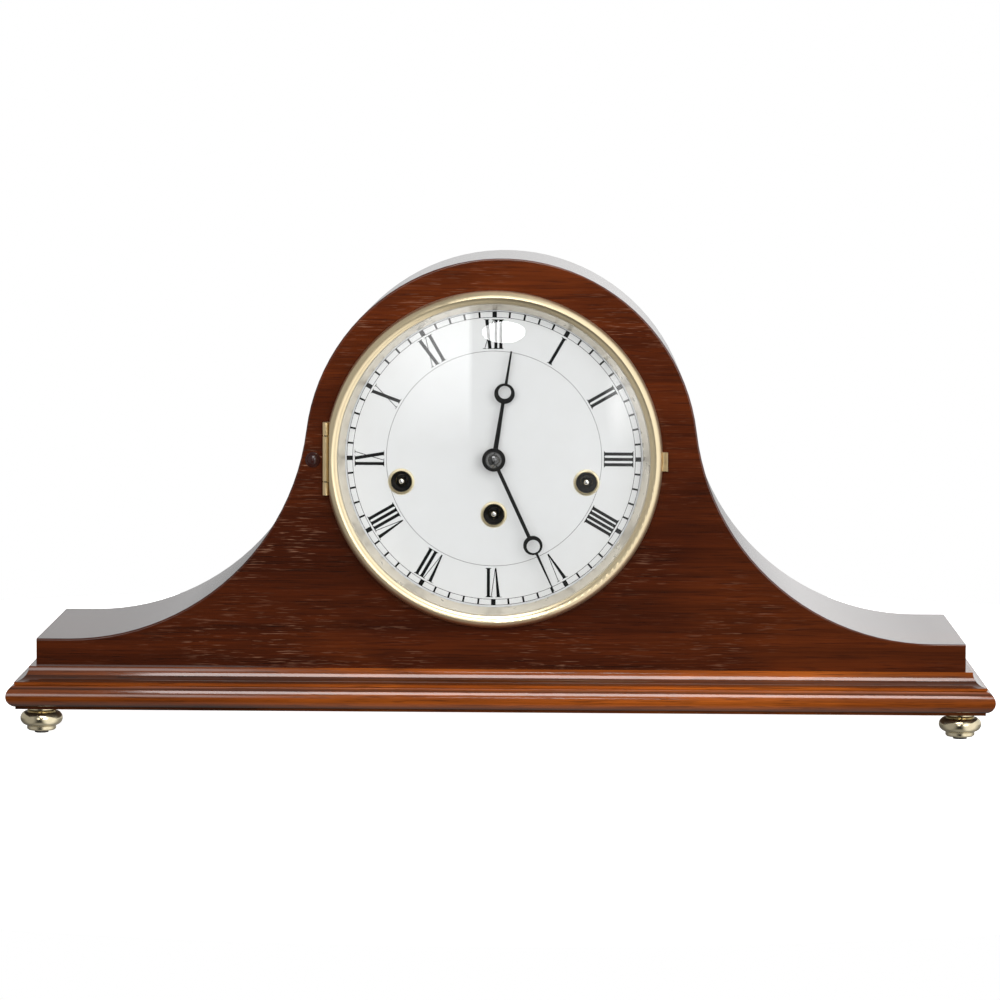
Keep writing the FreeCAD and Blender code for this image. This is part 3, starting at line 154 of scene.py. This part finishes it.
def stained_wood(name, dark, mid, warm, turn=ALONG_X, across_z=1.0, glints=0.0, stain_and_painted_light_bands=(),
                 painted_falloff=(1.0, 1.0), painted_end_shade=1.0, **finish):
    """Stained and lacquered wood whose grain runs along x, or along y if turned.

    across_z below one draws the grain out upwards as well. glints is how brightly the open pores
    catch the light, as painted glints. stain_and_painted_light_bands are bands of height (low, high,
    shade, soft edge): painted shade in the hollows, partly with gathered stain, and a painted
    highlight where shade is above one. painted_falloff is painted light falloff, darker at the bottom
    and lighter at the top, and painted_end_shade is painted shade towards the left end, with half of
    that towards the right end.
    """
    tree, shader = new_material(name, **finish)

    def grain(long, fine, detail, rough, bend=0.0):
        return noise(tree, place(tree, (long, fine, fine * across_z), turn), detail, rough, bend)

    bands = grain(2.2, 34.0, 3, 0.55, 1.4)
    streaks = grain(9.0, 300.0, 5, 0.62, 0.5)
    fibres = grain(26.0, 1150.0, 3, 0.6)
    patch = noise(tree, place(tree, (6.0, 9.0, 11.0), turn), 3, 0.5, 0.8)
    tone = blend(tree, spread(tree, bands, 0.36, 0.66), dark, mid)
    tone = blend(tree, spread(tree, patch, 0.50, 0.68, 0.0, 0.85), tone, warm)
    tone = shaded(tree, tone, spread(tree, streaks, 0.32, 0.70, 0.72, 1.20))
    tone = shaded(tree, tone, spread(tree, fibres, 0.30, 0.72, 0.74, 1.20))
    pores = spread(tree, grain(62.0, 1700.0, 2, 0.5), 0.57, 0.66)
    tone = blend(tree, maths(tree, "MULTIPLY", pores, 0.45), tone, PORE_TONE)
    at = add(tree, "SeparateXYZ", {0: place(tree, (1, 1, 1))}).outputs
    if glints:
        where = grain(120.0, 2500.0, 2, 0.5)
        some = spread(tree, noise(tree, place(tree, (16, 22, 30), turn), 3, 0.6), 0.42, 0.66)
        lower_left = maths(tree, "MULTIPLY", spread(tree, at["X"], -0.06, 0.16, 1.0, 0.30),
                           spread(tree, at["Z"], 0.06, 0.20, 1.0, 0.75))
        some = maths(tree, "MULTIPLY", some, lower_left)
        lit = maths(tree, "MULTIPLY", spread(tree, where, 0.60, 0.70, 0.0, glints), some)
        tone = blend(tree, lit, tone, GLINT_TONE)
    # Painted light falloff: darker towards the bottom, lighter towards the top.
    tone = shaded(tree, tone, spread(tree, at["Z"], FALLOFF_BOTTOM, FALLOFF_TOP, *painted_falloff))
    # Painted shade towards the left end, and half as much towards the right end.
    tone = shaded(tree, tone, spread(tree, at["X"], LEFT_END, LEFT_INNER, painted_end_shade, 1.0))
    tone = shaded(tree, tone, spread(tree, at["X"], RIGHT_INNER, RIGHT_END, 1.0, 0.5 + painted_end_shade / 2))
    # Bands of painted shade, partly with gathered stain, and a painted highlight where the factor is above
    # one.
    for low, high, depth, soft in stain_and_painted_light_bands:
        band_mask = pulse(tree, at["Z"], low, high, soft)
        tone = shaded(tree, tone, spread(tree, band_mask, 0.0, 1.0, 1.0, depth))
    feed(tree, shader, Base_Color=tone)
    height = maths(tree, "SUBTRACT", maths(tree, "MULTIPLY", fibres, 0.4), pores)
    relief(tree, shader, height, 0.00003, 0.45)
    relief(tree, shader, height, 0.000005, 0.5, "Coat Normal")


def make_woods():
    lacquer = {"Roughness": 0.5, "Specular_IOR_Level": 0.05, "Coat_Weight": 1.0, "Coat_Roughness": 0.05}
    stained_wood("front_veneer", (0.041, 0.0066, 0.0008, 1), (0.070, 0.0120, 0.0014, 1),
                 (0.105, 0.0200, 0.0024, 1), glints=0.75, painted_falloff=(0.90, 1.28), **lacquer)
    stained_wood("case_wood", (0.048, 0.0100, 0.0022, 1), (0.088, 0.0195, 0.0040, 1),
                 (0.128, 0.0310, 0.0062, 1), across_z=0.25, glints=0.25, **lacquer)
    low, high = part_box("base_moulding_front")
    edge = 0.4 * MM
    # Painted shade, partly with gathered stain, at the foot of the cove and in the quirk above the torus; a
    # painted highlight along the fillet (factor above one); painted shade along the foot under the torus.
    stain_and_painted_light_bands = ((high.z - 6.0 * MM, high.z - 3.9 * MM, 0.36, edge),
                (high.z - 8.1 * MM, high.z - 6.9 * MM, 1.4, edge),
                (high.z - 9.3 * MM, high.z - 8.9 * MM, 0.40, edge),
                (low.z - 0.1 * MM, low.z + 1.6 * MM, 0.34, 2.6 * MM))
    for name, turn in (("moulding_wood", ALONG_X), ("moulding_wood_return", ALONG_Y)):
        stained_wood(name, (0.200, 0.041, 0.0034, 1), (0.310, 0.068, 0.0060, 1),
                     (0.380, 0.090, 0.0085, 1), turn=turn, glints=0.12, stain_and_painted_light_bands=stain_and_painted_light_bands, painted_end_shade=0.50,
                     Roughness=0.5, Specular_IOR_Level=0.05, Coat_Weight=1.0, Coat_IOR=1.6,
                     Coat_Roughness=0.07)
    stained_wood("plain_wood", (0.070, 0.027, 0.0110, 1), (0.125, 0.050, 0.0200, 1),
                 (0.170, 0.070, 0.0280, 1), glints=0.1, Roughness=0.62, Coat_Weight=0.15,
                 Coat_Roughness=0.35)


# ---------------------------------------------------------------------------
# Metals, dial, plastic, glass and cloth
# ---------------------------------------------------------------------------


def metal(name, colour, rough, variation=0.06, scratch=(60, 60, 900), depth=0.000004,
          tarnish=None, metallic=1.0):
    """A metal with fine directional working marks and a little tarnish."""
    tree, shader = new_material(name, Metallic=metallic)
    marks = noise(tree, place(tree, scratch), 5, 0.6)
    cloud = noise(tree, place(tree, (45, 45, 45)), 4, 0.6)
    dull = tarnish or tuple(c * 0.72 for c in colour[:3]) + (1,)
    tone = blend(tree, spread(tree, cloud, 0.42, 0.75, 0.0, 0.5), colour, dull)
    feed(tree, shader, Base_Color=tone,
         Roughness=spread(tree, marks, 0.3, 0.7, max(rough - variation, 0.02), rough + variation))
    relief(tree, shader, marks, depth, 0.6)


def make_metals():
    metal("polished_brass", (0.83, 0.70, 0.46, 1), 0.34, 0.02, (90, 90, 90), 0.0000006,
          tarnish=(0.79, 0.65, 0.41, 1))
    metal("eyelet_brass", (0.97, 0.86, 0.60, 1), 0.34, 0.04, (90, 90, 90), 0.0000006)
    metal("turned_brass", (0.74, 0.65, 0.45, 1), 0.20, 0.06, (25, 25, 2600), 0.000004,
          tarnish=(0.56, 0.48, 0.31, 1))
    metal("satin_brass", (0.95, 0.74, 0.42, 1), 0.34, 0.05, (90, 90, 500), 0.000001)
    metal("sight_ring", (0.78, 0.72, 0.61, 1), 0.30, 0.04, (120, 120, 120), 0.000001,
          tarnish=(0.72, 0.65, 0.53, 1), metallic=0.55)
    metal("movement_brass", (0.84, 0.66, 0.34, 1), 0.24, 0.06, (1200, 40, 60), 0.000004)
    metal("hammer_brass", (0.80, 0.62, 0.32, 1), 0.28)
    metal("bronze_rod", (0.62, 0.42, 0.24, 1), 0.30, 0.08, (20, 700, 700))
    metal("steel", (0.62, 0.62, 0.63, 1), 0.24, 0.08, (500, 60, 500))
    metal("steel_dark", (0.075, 0.073, 0.072, 1), 0.32, 0.08, (500, 60, 500))
    metal("steel_bright", (0.86, 0.85, 0.84, 1), 0.14)


def painted(name, colour, other, rough, grain, depth=0.0, spot=0.6, **more):
    """A painted, moulded or printed surface: two close tones, and a fine grain."""
    tree, shader = new_material(name, **more)
    cloud = noise(tree, place(tree, (grain / 20,) * 3), 4, 0.6)
    specks = noise(tree, place(tree, (grain,) * 3), 3, 0.5)
    feed(tree, shader, Base_Color=blend(tree, spread(tree, cloud, 0.4, 0.6 + 0.1 * spot), colour, other),
         Roughness=spread(tree, specks, 0.3, 0.7, rough * 0.85, rough * 1.15))
    if depth:
        relief(tree, shader, specks, depth, 0.5)


def make_dial_finishes():
    painted("silvered_dial", (0.684, 0.688, 0.692, 1), (0.672, 0.675, 0.677, 1), 0.42, 2500, 0.000001,
            Specular_IOR_Level=0.4)
    painted("dial_print", (0.004, 0.004, 0.004, 1), (0.008, 0.008, 0.008, 1), 0.6, 3000,
            Specular_IOR_Level=0.1)
    painted("black_hands", (0.005, 0.005, 0.005, 1), (0.010, 0.009, 0.008, 1), 0.34, 2200, 0.000002,
            Specular_IOR_Level=0.3, Coat_Weight=0.3, Coat_Roughness=0.15)
    painted("black_nut", (0.008, 0.008, 0.008, 1), (0.014, 0.013, 0.012, 1), 0.26, 1200, 0.000001,
            Specular_IOR_Level=1.0, Coat_Weight=1.0, Coat_Roughness=0.10)
    # The sleeves' black stands in for the shade inside the winding holes: painted shade.
    painted("black_shade_sleeve", (0.010, 0.009, 0.008, 1), (0.020, 0.018, 0.016, 1), 0.45, 1500, 0.000003,
            Specular_IOR_Level=0.3)


def make_plastics():
    painted("dark_plastic", (0.018, 0.0035, 0.002, 1), (0.030, 0.006, 0.004, 1), 0.45, 600,
            Specular_IOR_Level=0.1, Coat_Weight=0.7, Coat_Roughness=0.03)
    painted("pad_rubber", (0.030, 0.030, 0.030, 1), (0.050, 0.048, 0.046, 1), 0.85, 1800, 0.00003)
    painted("black_iron", (0.016, 0.016, 0.017, 1), (0.030, 0.029, 0.028, 1), 0.55, 1400, 0.00006)


def make_glass():
    """Clear glass that lets light straight through and mirrors more as it tilts, with faint smears."""
    tree, shader = new_material("clear_glass")
    tree.nodes.remove(shader)
    smear = spread(tree, noise(tree, place(tree, (25, 25, 60)), 4, 0.6), 0.45, 0.8, 0.0, 0.025)
    gloss = add(tree, "BsdfGlossy", {"Roughness": smear})
    clear = add(tree, "BsdfTransparent", {"Color": (0.985, 0.988, 0.987, 1)})
    tilt = add(tree, "LayerWeight", {"Blend": 0.5}).outputs["Facing"]
    mirror = maths(tree, "ADD", maths(tree, "MULTIPLY", maths(tree, "POWER", tilt, 5.0), 0.96), 0.04)
    both = add(tree, "MixShader", {0: mirror, 1: clear.outputs[0], 2: gloss.outputs[0]})
    tree.links.new(both.outputs[0], tree.nodes["Material Output"].inputs["Surface"])


def make_cloth():
    """Dark woven sound cloth: crossing threads, lit fibre tips and a soft sheen."""
    tree, shader = new_material("sound_cloth", Roughness=0.9, Sheen_Weight=0.35)
    warp = add(tree, "TexWave", {"Vector": place(tree, (1, 1, 1)), "Scale": 420.0, "Distortion": 0.6,
                                 "Detail": 2.0, "Detail Scale": 3.0}, bands_direction="X")
    weft = add(tree, "TexWave", {"Vector": place(tree, (1, 1, 1)), "Scale": 420.0, "Distortion": 0.6,
                                 "Detail": 2.0, "Detail Scale": 3.0}, bands_direction="Z")
    weave = maths(tree, "MAXIMUM", warp.outputs["Fac"], weft.outputs["Fac"])
    fuzz = noise(tree, place(tree, (900, 900, 900)), 3, 0.6)
    tone = blend(tree, weave, (0.012, 0.008, 0.006, 1), (0.060, 0.042, 0.030, 1))
    tone = blend(tree, spread(tree, fuzz, 0.5, 0.75, 0.0, 0.4), tone, (0.11, 0.085, 0.065, 1))
    feed(tree, shader, Base_Color=tone)
    relief(tree, shader, weave, 0.0002, 0.8)


# Nodes whose finish differs from the plain one of their slot.
SPECIAL = {"base_moulding_left": "moulding_wood_return", "base_moulding_right": "moulding_wood_return",
           "front_feet": "turned_brass", "rear_feet": "turned_brass", "hand_nut": "black_nut",
           "winding_grommets": "eyelet_brass", "bezel_hinge_pin": "steel_dark",
           "strike_winding_arbor": "steel_dark", "time_winding_arbor": "steel_dark",
           "chime_winding_arbor": "steel_dark"}


def dress():
    """Gives each CAD node the material of its slot."""
    for part in frame["record"]["subparts"]:
        node = frame["nodes"][part["node"]]
        name = SPECIAL.get(part["node"], part["material_slot"])
        node.data.materials.clear()
        node.data.materials.append(bpy.data.materials[name])


# ---------------------------------------------------------------------------
# Printed dial
# ---------------------------------------------------------------------------

dial_low, dial_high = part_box("dial_plate")
DIAL_CENTRE = ((dial_low.x + dial_high.x) / 2, (dial_low.z + dial_high.z) / 2)
DIAL_FACE = dial_low.y
INK = 0.04 * MM
SUNK = 0.02 * MM

TRACK_OUTER, TRACK_INNER, CHAPTER_INNER = 65.6, 63.0, 48.0
NUMERAL_OUTER, NUMERAL_INNER = 62.1, 48.95
NUMERAL_HEIGHT = NUMERAL_OUTER - NUMERAL_INNER
STEM, HAIR, SERIF = 1.4, 0.24, 0.9
THIN = HAIR + 0.06
V_OPEN, X_OPEN = 3.25, 3.0
BRACKET_LAP, BRACKET_REACH, BRACKET_TALL = 0.05, 0.35, 0.5
MINUTE_TICK, HOUR_TICK = 0.43, 1.0
TRACK_LINE, CIRCLE_LINE = 0.2, 0.16

# Where the letters of each numeral stand, in mm to the right of its middle: the stems, then a V or
# an X by the outer end of its thick stroke, and how far that stroke leans.
NUMERALS = {
    1: ((0.0,),), 2: ((-1.2, 1.2),), 3: ((-2.4, 0.0, 2.4),), 4: ((-3.22, -1.07, 1.07, 3.22),),
    5: ((), "V", -1.0, 1.25), 6: ((2.25,), "V", -2.25, 1.25), 7: ((1.4, 3.9), "V", -3.0, 1.25),
    8: ((-0.6, 1.8, 4.2), "V", -5.1, 1.25), 9: ((-2.5,), "X", -0.1, 2.2), 10: ((), "X", -1.3, 2.2),
    11: ((2.3,), "X", -2.6, 1.7), 12: ((0.6, 2.8), "X", -3.5, 1.5),
}


def ink_slab(mesh, outline):
    """Raises a flat outline, given as (x, z) in metres, to the thickness of the ink."""
    front = [mesh.verts.new((x, DIAL_FACE - INK, z)) for x, z in outline]
    back = [mesh.verts.new((x, DIAL_FACE + SUNK, z)) for x, z in outline]
    mesh.faces.new(front)
    mesh.faces.new(back[::-1])
    count = len(outline)
    for i in range(count):
        j = (i + 1) % count
        mesh.faces.new((front[j], front[i], back[i], back[j]))


def on_dial(hours, across, radius):
    """The (x, z) of a point beside the radius line of an hour, in mm, feet inwards."""
    turn = math.radians(30 * hours)
    x = radius * math.sin(turn) + across * math.cos(turn)
    z = radius * math.cos(turn) - across * math.sin(turn)
    return DIAL_CENTRE[0] + x * MM, DIAL_CENTRE[1] + z * MM


def stroke(mesh, hours, outer, inner, wide, wide_inner=None):
    """A stroke from the outer end of the numeral band to the inner one."""
    half_outer = wide / 2
    half_inner = (wide_inner or wide) / 2
    corners = ((outer - half_outer, NUMERAL_HEIGHT), (outer + half_outer, NUMERAL_HEIGHT),
               (inner + half_inner, 0.0), (inner - half_inner, 0.0))
    ink_slab(mesh, [on_dial(hours, s, NUMERAL_INNER + t) for s, t in corners])


def serif(mesh, hours, left, right, outer):
    """A hairline across the end of one or more strokes."""
    high = NUMERAL_HEIGHT if outer else HAIR
    corners = ((left, high), (right, high), (right, high - HAIR), (left, high - HAIR))
    ink_slab(mesh, [on_dial(hours, s, NUMERAL_INNER + t) for s, t in corners])


def bracket(mesh, hours, at, outer):
    """The small wedges that join a stem to its serif."""
    base = NUMERAL_HEIGHT - HAIR if outer else HAIR
    tip = base - BRACKET_TALL if outer else base + BRACKET_TALL
    for side in (-1, 1):
        root = at + side * (STEM / 2 - BRACKET_LAP)
        corners = ((root, base), (at + side * (STEM / 2 + BRACKET_REACH), base), (root, tip))
        order = side if outer else -side
        ink_slab(mesh, [on_dial(hours, s, NUMERAL_INNER + t) for s, t in corners[::order]])


def stems(mesh, hours, places):
    for at in places:
        stroke(mesh, hours, at, at, STEM)
        bracket(mesh, hours, at, True)
        bracket(mesh, hours, at, False)
    reach = STEM / 2 + SERIF * 0.7
    for outer in (True, False):
        serif(mesh, hours, places[0] - reach, places[-1] + reach, outer)


def letter_v(mesh, hours, at, lean):
    """at is the thick stroke's outer end; the thin one starts V_OPEN to its right."""
    stroke(mesh, hours, at, at + lean, STEM + 0.15, 0.55)
    stroke(mesh, hours, at + V_OPEN, at + lean + 0.15, THIN)
    serif(mesh, hours, at - 1.5, at + 1.3, True)
    serif(mesh, hours, at + 2.5, at + 4.0, True)


def letter_x(mesh, hours, at, lean):
    """at is the thick stroke's outer end; it leans right towards the dial's middle."""
    stroke(mesh, hours, at, at + lean, STEM + 0.1)
    stroke(mesh, hours, at + X_OPEN, at - 0.9, THIN)
    serif(mesh, hours, at - 1.3, at + 1.2, True)
    serif(mesh, hours, at + 2.2, at + 3.8, True)
    serif(mesh, hours, at + lean - 1.2, at + lean + 1.3, False)
    serif(mesh, hours, at - 1.7, at - 0.1, False)


def numeral(mesh, hours, places, letter="", at=0.0, lean=0.0):
    if places:
        stems(mesh, hours, places)
    if letter == "V":
        letter_v(mesh, hours, at, lean)
    if letter == "X":
        letter_x(mesh, hours, at, lean)


def circle_band(mesh, radius, wide):
    """A thin printed circle, as one closed ring of quads."""
    steps = 360
    rings = []
    for r, y in ((radius - wide / 2, DIAL_FACE - INK), (radius + wide / 2, DIAL_FACE - INK),
                 (radius + wide / 2, DIAL_FACE + SUNK), (radius - wide / 2, DIAL_FACE + SUNK)):
        ring = []
        for i in range(steps):
            x, z = on_dial(12.0 * i / steps, 0, r)
            ring.append(mesh.verts.new((x, y, z)))
        rings.append(ring)
    for a in range(4):
        near, far = rings[a], rings[(a + 1) % 4]
        for i in range(steps):
            j = (i + 1) % steps
            mesh.faces.new((near[i], near[j], far[j], far[i]))


def piece_from(mesh, name, material, body):
    bmesh.ops.recalc_face_normals(mesh, faces=mesh.faces)
    data = bpy.data.meshes.new(name)
    mesh.to_mesh(data)
    mesh.free()
    made = bpy.data.objects.new(name, data)
    made.data.materials.append(bpy.data.materials[material])
    bpy.context.scene.collection.objects.link(made)
    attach(made, body)
    return made


def print_dial():
    mesh = bmesh.new()
    for hours, letters in NUMERALS.items():
        numeral(mesh, hours, *letters)
    piece_from(mesh, "dial_numerals", "dial_print", "case")
    mesh = bmesh.new()
    for minute in range(60):
        half = HOUR_TICK if minute % 5 == 0 else MINUTE_TICK
        corners = ((-half, TRACK_OUTER), (half, TRACK_OUTER), (half, TRACK_INNER), (-half, TRACK_INNER))
        ink_slab(mesh, [on_dial(minute / 5, s, r) for s, r in corners])
    for radius in (TRACK_OUTER, TRACK_INNER):
        circle_band(mesh, radius, TRACK_LINE)
    piece_from(mesh, "dial_minute_track", "dial_print", "case")
    mesh = bmesh.new()
    circle_band(mesh, CHAPTER_INNER, CIRCLE_LINE)
    piece_from(mesh, "dial_inner_circle", "dial_print", "case")


# ---------------------------------------------------------------------------
# Winding holes
# ---------------------------------------------------------------------------


def turn_about_y(mesh, centre, profile):
    """Turns a closed (radius, y) outline about the line through centre, which is (x, z)."""
    steps = 64
    rings = []
    for i in range(steps):
        angle = 2 * math.pi * i / steps
        rings.append([mesh.verts.new((centre[0] + r * math.cos(angle), y, centre[1] + r * math.sin(angle)))
                      for r, y in profile])
    for i in range(steps):
        near, far = rings[i], rings[(i + 1) % steps]
        for k in range(len(profile)):
            j = (k + 1) % len(profile)
            mesh.faces.new((near[k], near[j], far[j], far[k]))


# Places in mm from the dial axis, (x, z).
WINDERS = {"strike": (-41.3, -10.5), "time": (0.0, -25.0), "chime": (41.3, -10.5)}
SLEEVE_IN, SLEEVE_OUT, SLEEVE_HOLE = 4.9 * MM, 5.3 * MM, 2.75 * MM
SLEEVE_DEPTH, SLEEVE_FLOOR, SLEEVE_CLEAR = 5.6 * MM, 0.4 * MM, 0.05 * MM
PIP_RADIUS, PIP_TALL, PIP_SUNK, PIP_CORE = 1.32 * MM, 0.75 * MM, 0.2 * MM, 0.05 * MM


def line_winding_holes():
    """Black sleeves behind the winding holes that stand in for the shade inside them (painted shade), and the
    bright turned pips on the arbors.
    """
    sleeves = bmesh.new()
    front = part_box("winding_grommets")[1].y + SLEEVE_CLEAR
    for train, (x, z) in WINDERS.items():
        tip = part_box(train + "_winding_arbor")[0].y
        centre = (DIAL_CENTRE[0] + x * MM, DIAL_CENTRE[1] + z * MM)
        back = tip + SLEEVE_DEPTH
        turn_about_y(sleeves, centre, ((SLEEVE_IN, front), (SLEEVE_OUT, front), (SLEEVE_OUT, back),
                                       (SLEEVE_HOLE, back), (SLEEVE_HOLE, back - SLEEVE_FLOOR),
                                       (SLEEVE_IN, back - SLEEVE_FLOOR)))
        pip = bmesh.new()
        bulge = [(PIP_RADIUS * math.cos(a), tip - PIP_TALL * math.sin(a))
                 for a in (math.radians(d) for d in (0, 15, 30, 45, 60, 75, 86))]
        root = tip + PIP_SUNK
        turn_about_y(pip, centre, [(PIP_CORE, root), (PIP_RADIUS, root)] + bulge)
        made = piece_from(pip, train + "_winding_pip", "steel_bright", train + "_winder")
        made.data.shade_smooth()
    # The black sleeves put painted shade inside the winding holes.
    piece_from(sleeves, "winding_hole_shade_sleeves", "black_shade_sleeve", "case")


# ---------------------------------------------------------------------------
# Sound cloth behind the slots of the back door
# ---------------------------------------------------------------------------


CLOTH_THICK = 0.25 * MM
CLOTH_COLUMNS, CLOTH_ROWS = 76, 61
GLUED_EDGE = 8
RIPPLE_WAVES, RIPPLE_SWAY, SWAY_WAVES = 9.0, 2.2, 5.0


def hang_cloth():
    """The sheet of cloth on the inside of the door: glued at its edges, with a shallow ripple."""
    low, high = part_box("door_cloth")
    wide, tall = high.x - low.x, high.z - low.z
    columns, rows = CLOTH_COLUMNS, CLOTH_ROWS
    mesh = bmesh.new()
    sides = []
    for offset in (0.0, CLOTH_THICK):
        grid = []
        for r in range(rows + 1):
            line = []
            for c in range(columns + 1):
                u, v = c / columns, r / rows
                free = min(1.0, GLUED_EDGE * min(u, 1 - u, v, 1 - v))
                ripple = 0.5 + 0.5 * math.sin(RIPPLE_WAVES * u + RIPPLE_SWAY * math.sin(SWAY_WAVES * v))
                sag = free * ripple * (high.y - low.y - CLOTH_THICK)
                line.append(mesh.verts.new((low.x + wide * u, low.y + offset + sag, low.z + tall * v)))
            grid.append(line)
        sides.append(grid)
    for side, grid in enumerate(sides):
        for r in range(rows):
            for c in range(columns):
                loop = (grid[r][c], grid[r][c + 1], grid[r + 1][c + 1], grid[r + 1][c])
                mesh.faces.new(loop if side == 0 else loop[::-1])
    rim = [(0, c) for c in range(columns)] + [(r, columns) for r in range(rows)]
    rim += [(rows, c) for c in range(columns, 0, -1)] + [(r, 0) for r in range(rows, 0, -1)]
    for i, (r, c) in enumerate(rim):
        r2, c2 = rim[(i + 1) % len(rim)]
        mesh.faces.new((sides[0][r2][c2], sides[0][r][c], sides[1][r][c], sides[1][r2][c2]))
    cloth = piece_from(mesh, "door_sound_cloth", "sound_cloth", "rear_door")
    cloth.data.shade_smooth()
    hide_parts("door_cloth")


# ---------------------------------------------------------------------------
# Studio
# ---------------------------------------------------------------------------


SENSOR_WIDTH, LENS = 36.0, 158.37
CAMERA_AT = (0.02994, -2.00391, 0.27959)
CAMERA_TURN = (84.90695, -0.27612, 0.91850)


def make_camera():
    data = bpy.data.cameras.new("camera")
    data.sensor_width = SENSOR_WIDTH
    data.lens = LENS
    camera = bpy.data.objects.new("camera", data)
    camera.location = CAMERA_AT
    camera.rotation_euler = [math.radians(a) for a in CAMERA_TURN]
    bpy.context.scene.collection.objects.link(camera)
    bpy.context.scene.camera = camera


def soft_box(name, azimuth, elevation, distance, wide, tall, radiance, shape="RECTANGLE",
             centre=(0, 0, 0.12)):
    """A lamp whose face has a given radiance, seen from the clock at an azimuth and elevation."""
    data = bpy.data.lights.new(name, "AREA")
    data.shape = shape
    data.size, data.size_y = wide, tall
    area = wide * tall * (math.pi / 4 if shape == "ELLIPSE" else 1.0)
    data.energy = radiance * area * math.pi
    lamp = bpy.data.objects.new(name, data)
    a, e = math.radians(azimuth), math.radians(elevation)
    out = Vector((math.sin(a) * math.cos(e), -math.cos(a) * math.cos(e), math.sin(e)))
    lamp.location = Vector(centre) + out * distance
    lamp.rotation_euler = out.to_track_quat("Z", "Y").to_euler()
    lamp.visible_camera = False
    bpy.context.scene.collection.objects.link(lamp)
    return lamp


def make_lights():
    """A flash seen in the glass, a soft box seen in the lacquer, and two fills for the matt tones."""
    soft_box("flash", azimuth=0.3, elevation=12.9, distance=2.0, wide=0.220, tall=0.110, radiance=9.8,
             shape="ELLIPSE", centre=(0.001, -0.056, 0.176))
    key = soft_box("key_box", azimuth=2.0, elevation=52.0, distance=1.25, wide=0.62, tall=0.60,
                   radiance=7.0, centre=(0, -0.05, 0.05))
    key.visible_diffuse = False
    right = soft_box("right_fill", azimuth=8.0, elevation=18.0, distance=2.0, wide=1.5, tall=1.3,
                     radiance=2.65)
    left = soft_box("left_fill", azimuth=-13.0, elevation=4.0, distance=2.0, wide=1.2, tall=1.2,
                    radiance=3.0)
    for fill in (right, left):
        fill.visible_glossy = False


def make_world():
    """White to the eye; to the clock a bright room with a dark gap where the camera stands."""
    world = bpy.data.worlds.new("studio")
    bpy.context.scene.world = world
    world.use_nodes = True
    tree = world.node_tree
    toward = add(tree, "SeparateXYZ", {0: add(tree, "TexCoord").outputs["Generated"]}).outputs

    def window(peak, x_rise, x_fall, past, z_rise, z_fall):
        """A soft-edged bright window; past is the share of it that is left beyond x_fall."""
        made = maths(tree, "MULTIPLY", spread(tree, toward["X"], *x_rise, 0.0, peak),
                     spread(tree, toward["X"], *x_fall, 1.0, past))
        made = maths(tree, "MULTIPLY", made, spread(tree, toward["Z"], *z_rise, 0.0, 1.0))
        return maths(tree, "MULTIPLY", made, spread(tree, toward["Z"], *z_fall, 1.0, 0.0))

    gap, right, left, above, below = 0.02, 1.25, 0.45, 0.22, 0.40
    front = spread(tree, toward["X"], 0.10, 0.45, gap, right)
    for other in (spread(tree, toward["X"], -0.60, -0.26, left, gap),
                  spread(tree, toward["Z"], 0.25, 0.60, gap, above),
                  spread(tree, toward["Z"], -0.98, -0.65, below, gap),
                  window(3.4, (-0.34, -0.16), (-0.078, -0.066), 0.0, (-0.05, 0.17), (0.35, 0.5)),
                  window(3.5, (0.235, 0.27), (0.55, 0.7), 0.3, (-0.07, 0.05), (0.4, 0.55))):
        front = maths(tree, "MAXIMUM", front, other)
    behind = maths(tree, "MULTIPLY", spread(tree, toward["X"], -0.16, 0.10, 0.48, 0.93),
                   spread(tree, toward["Z"], -0.12, 0.0, 0.35, 1.0))
    level = add(tree, "Mix", {0: spread(tree, toward["Y"], -0.1, 0.5), 2: front, 3: behind}).outputs[0]
    seen = add(tree, "LightPath").outputs["Is Camera Ray"]
    background = tree.nodes["Background"]
    background.inputs["Color"].default_value = (1, 1, 1, 1)
    tree.links.new(maths(tree, "MAXIMUM", level, seen), background.inputs["Strength"])


FLOOR_RADIUS = 0.55


def make_floor():
    """A pale round table top that glows like a lit acrylic sweep and puts no colour on the clock."""
    tree, shader = new_material("pale_floor", Roughness=0.6, Emission_Strength=1.0)
    shader.inputs["Emission Color"].default_value = (1, 1, 1, 1)
    cloud = noise(tree, place(tree, (6, 6, 6)), 3, 0.5)
    feed(tree, shader, Base_Color=blend(tree, cloud, (0.90, 0.90, 0.90, 1), (0.93, 0.93, 0.93, 1)))
    bpy.ops.mesh.primitive_circle_add(vertices=128, radius=FLOOR_RADIUS, fill_type="NGON", location=(0, 0, 0))
    floor = bpy.context.object
    floor.name = "pale_floor"
    floor.data.materials.append(bpy.data.materials["pale_floor"])
    floor.visible_glossy = False
    floor.visible_diffuse = False


make_woods()
make_metals()
make_dial_finishes()
make_plastics()
make_glass()
make_cloth()
dress()
print_dial()
line_winding_holes()
hang_cloth()
make_camera()
make_lights()
make_world()
make_floor()
bpy.context.scene.view_settings.view_transform = "Standard"
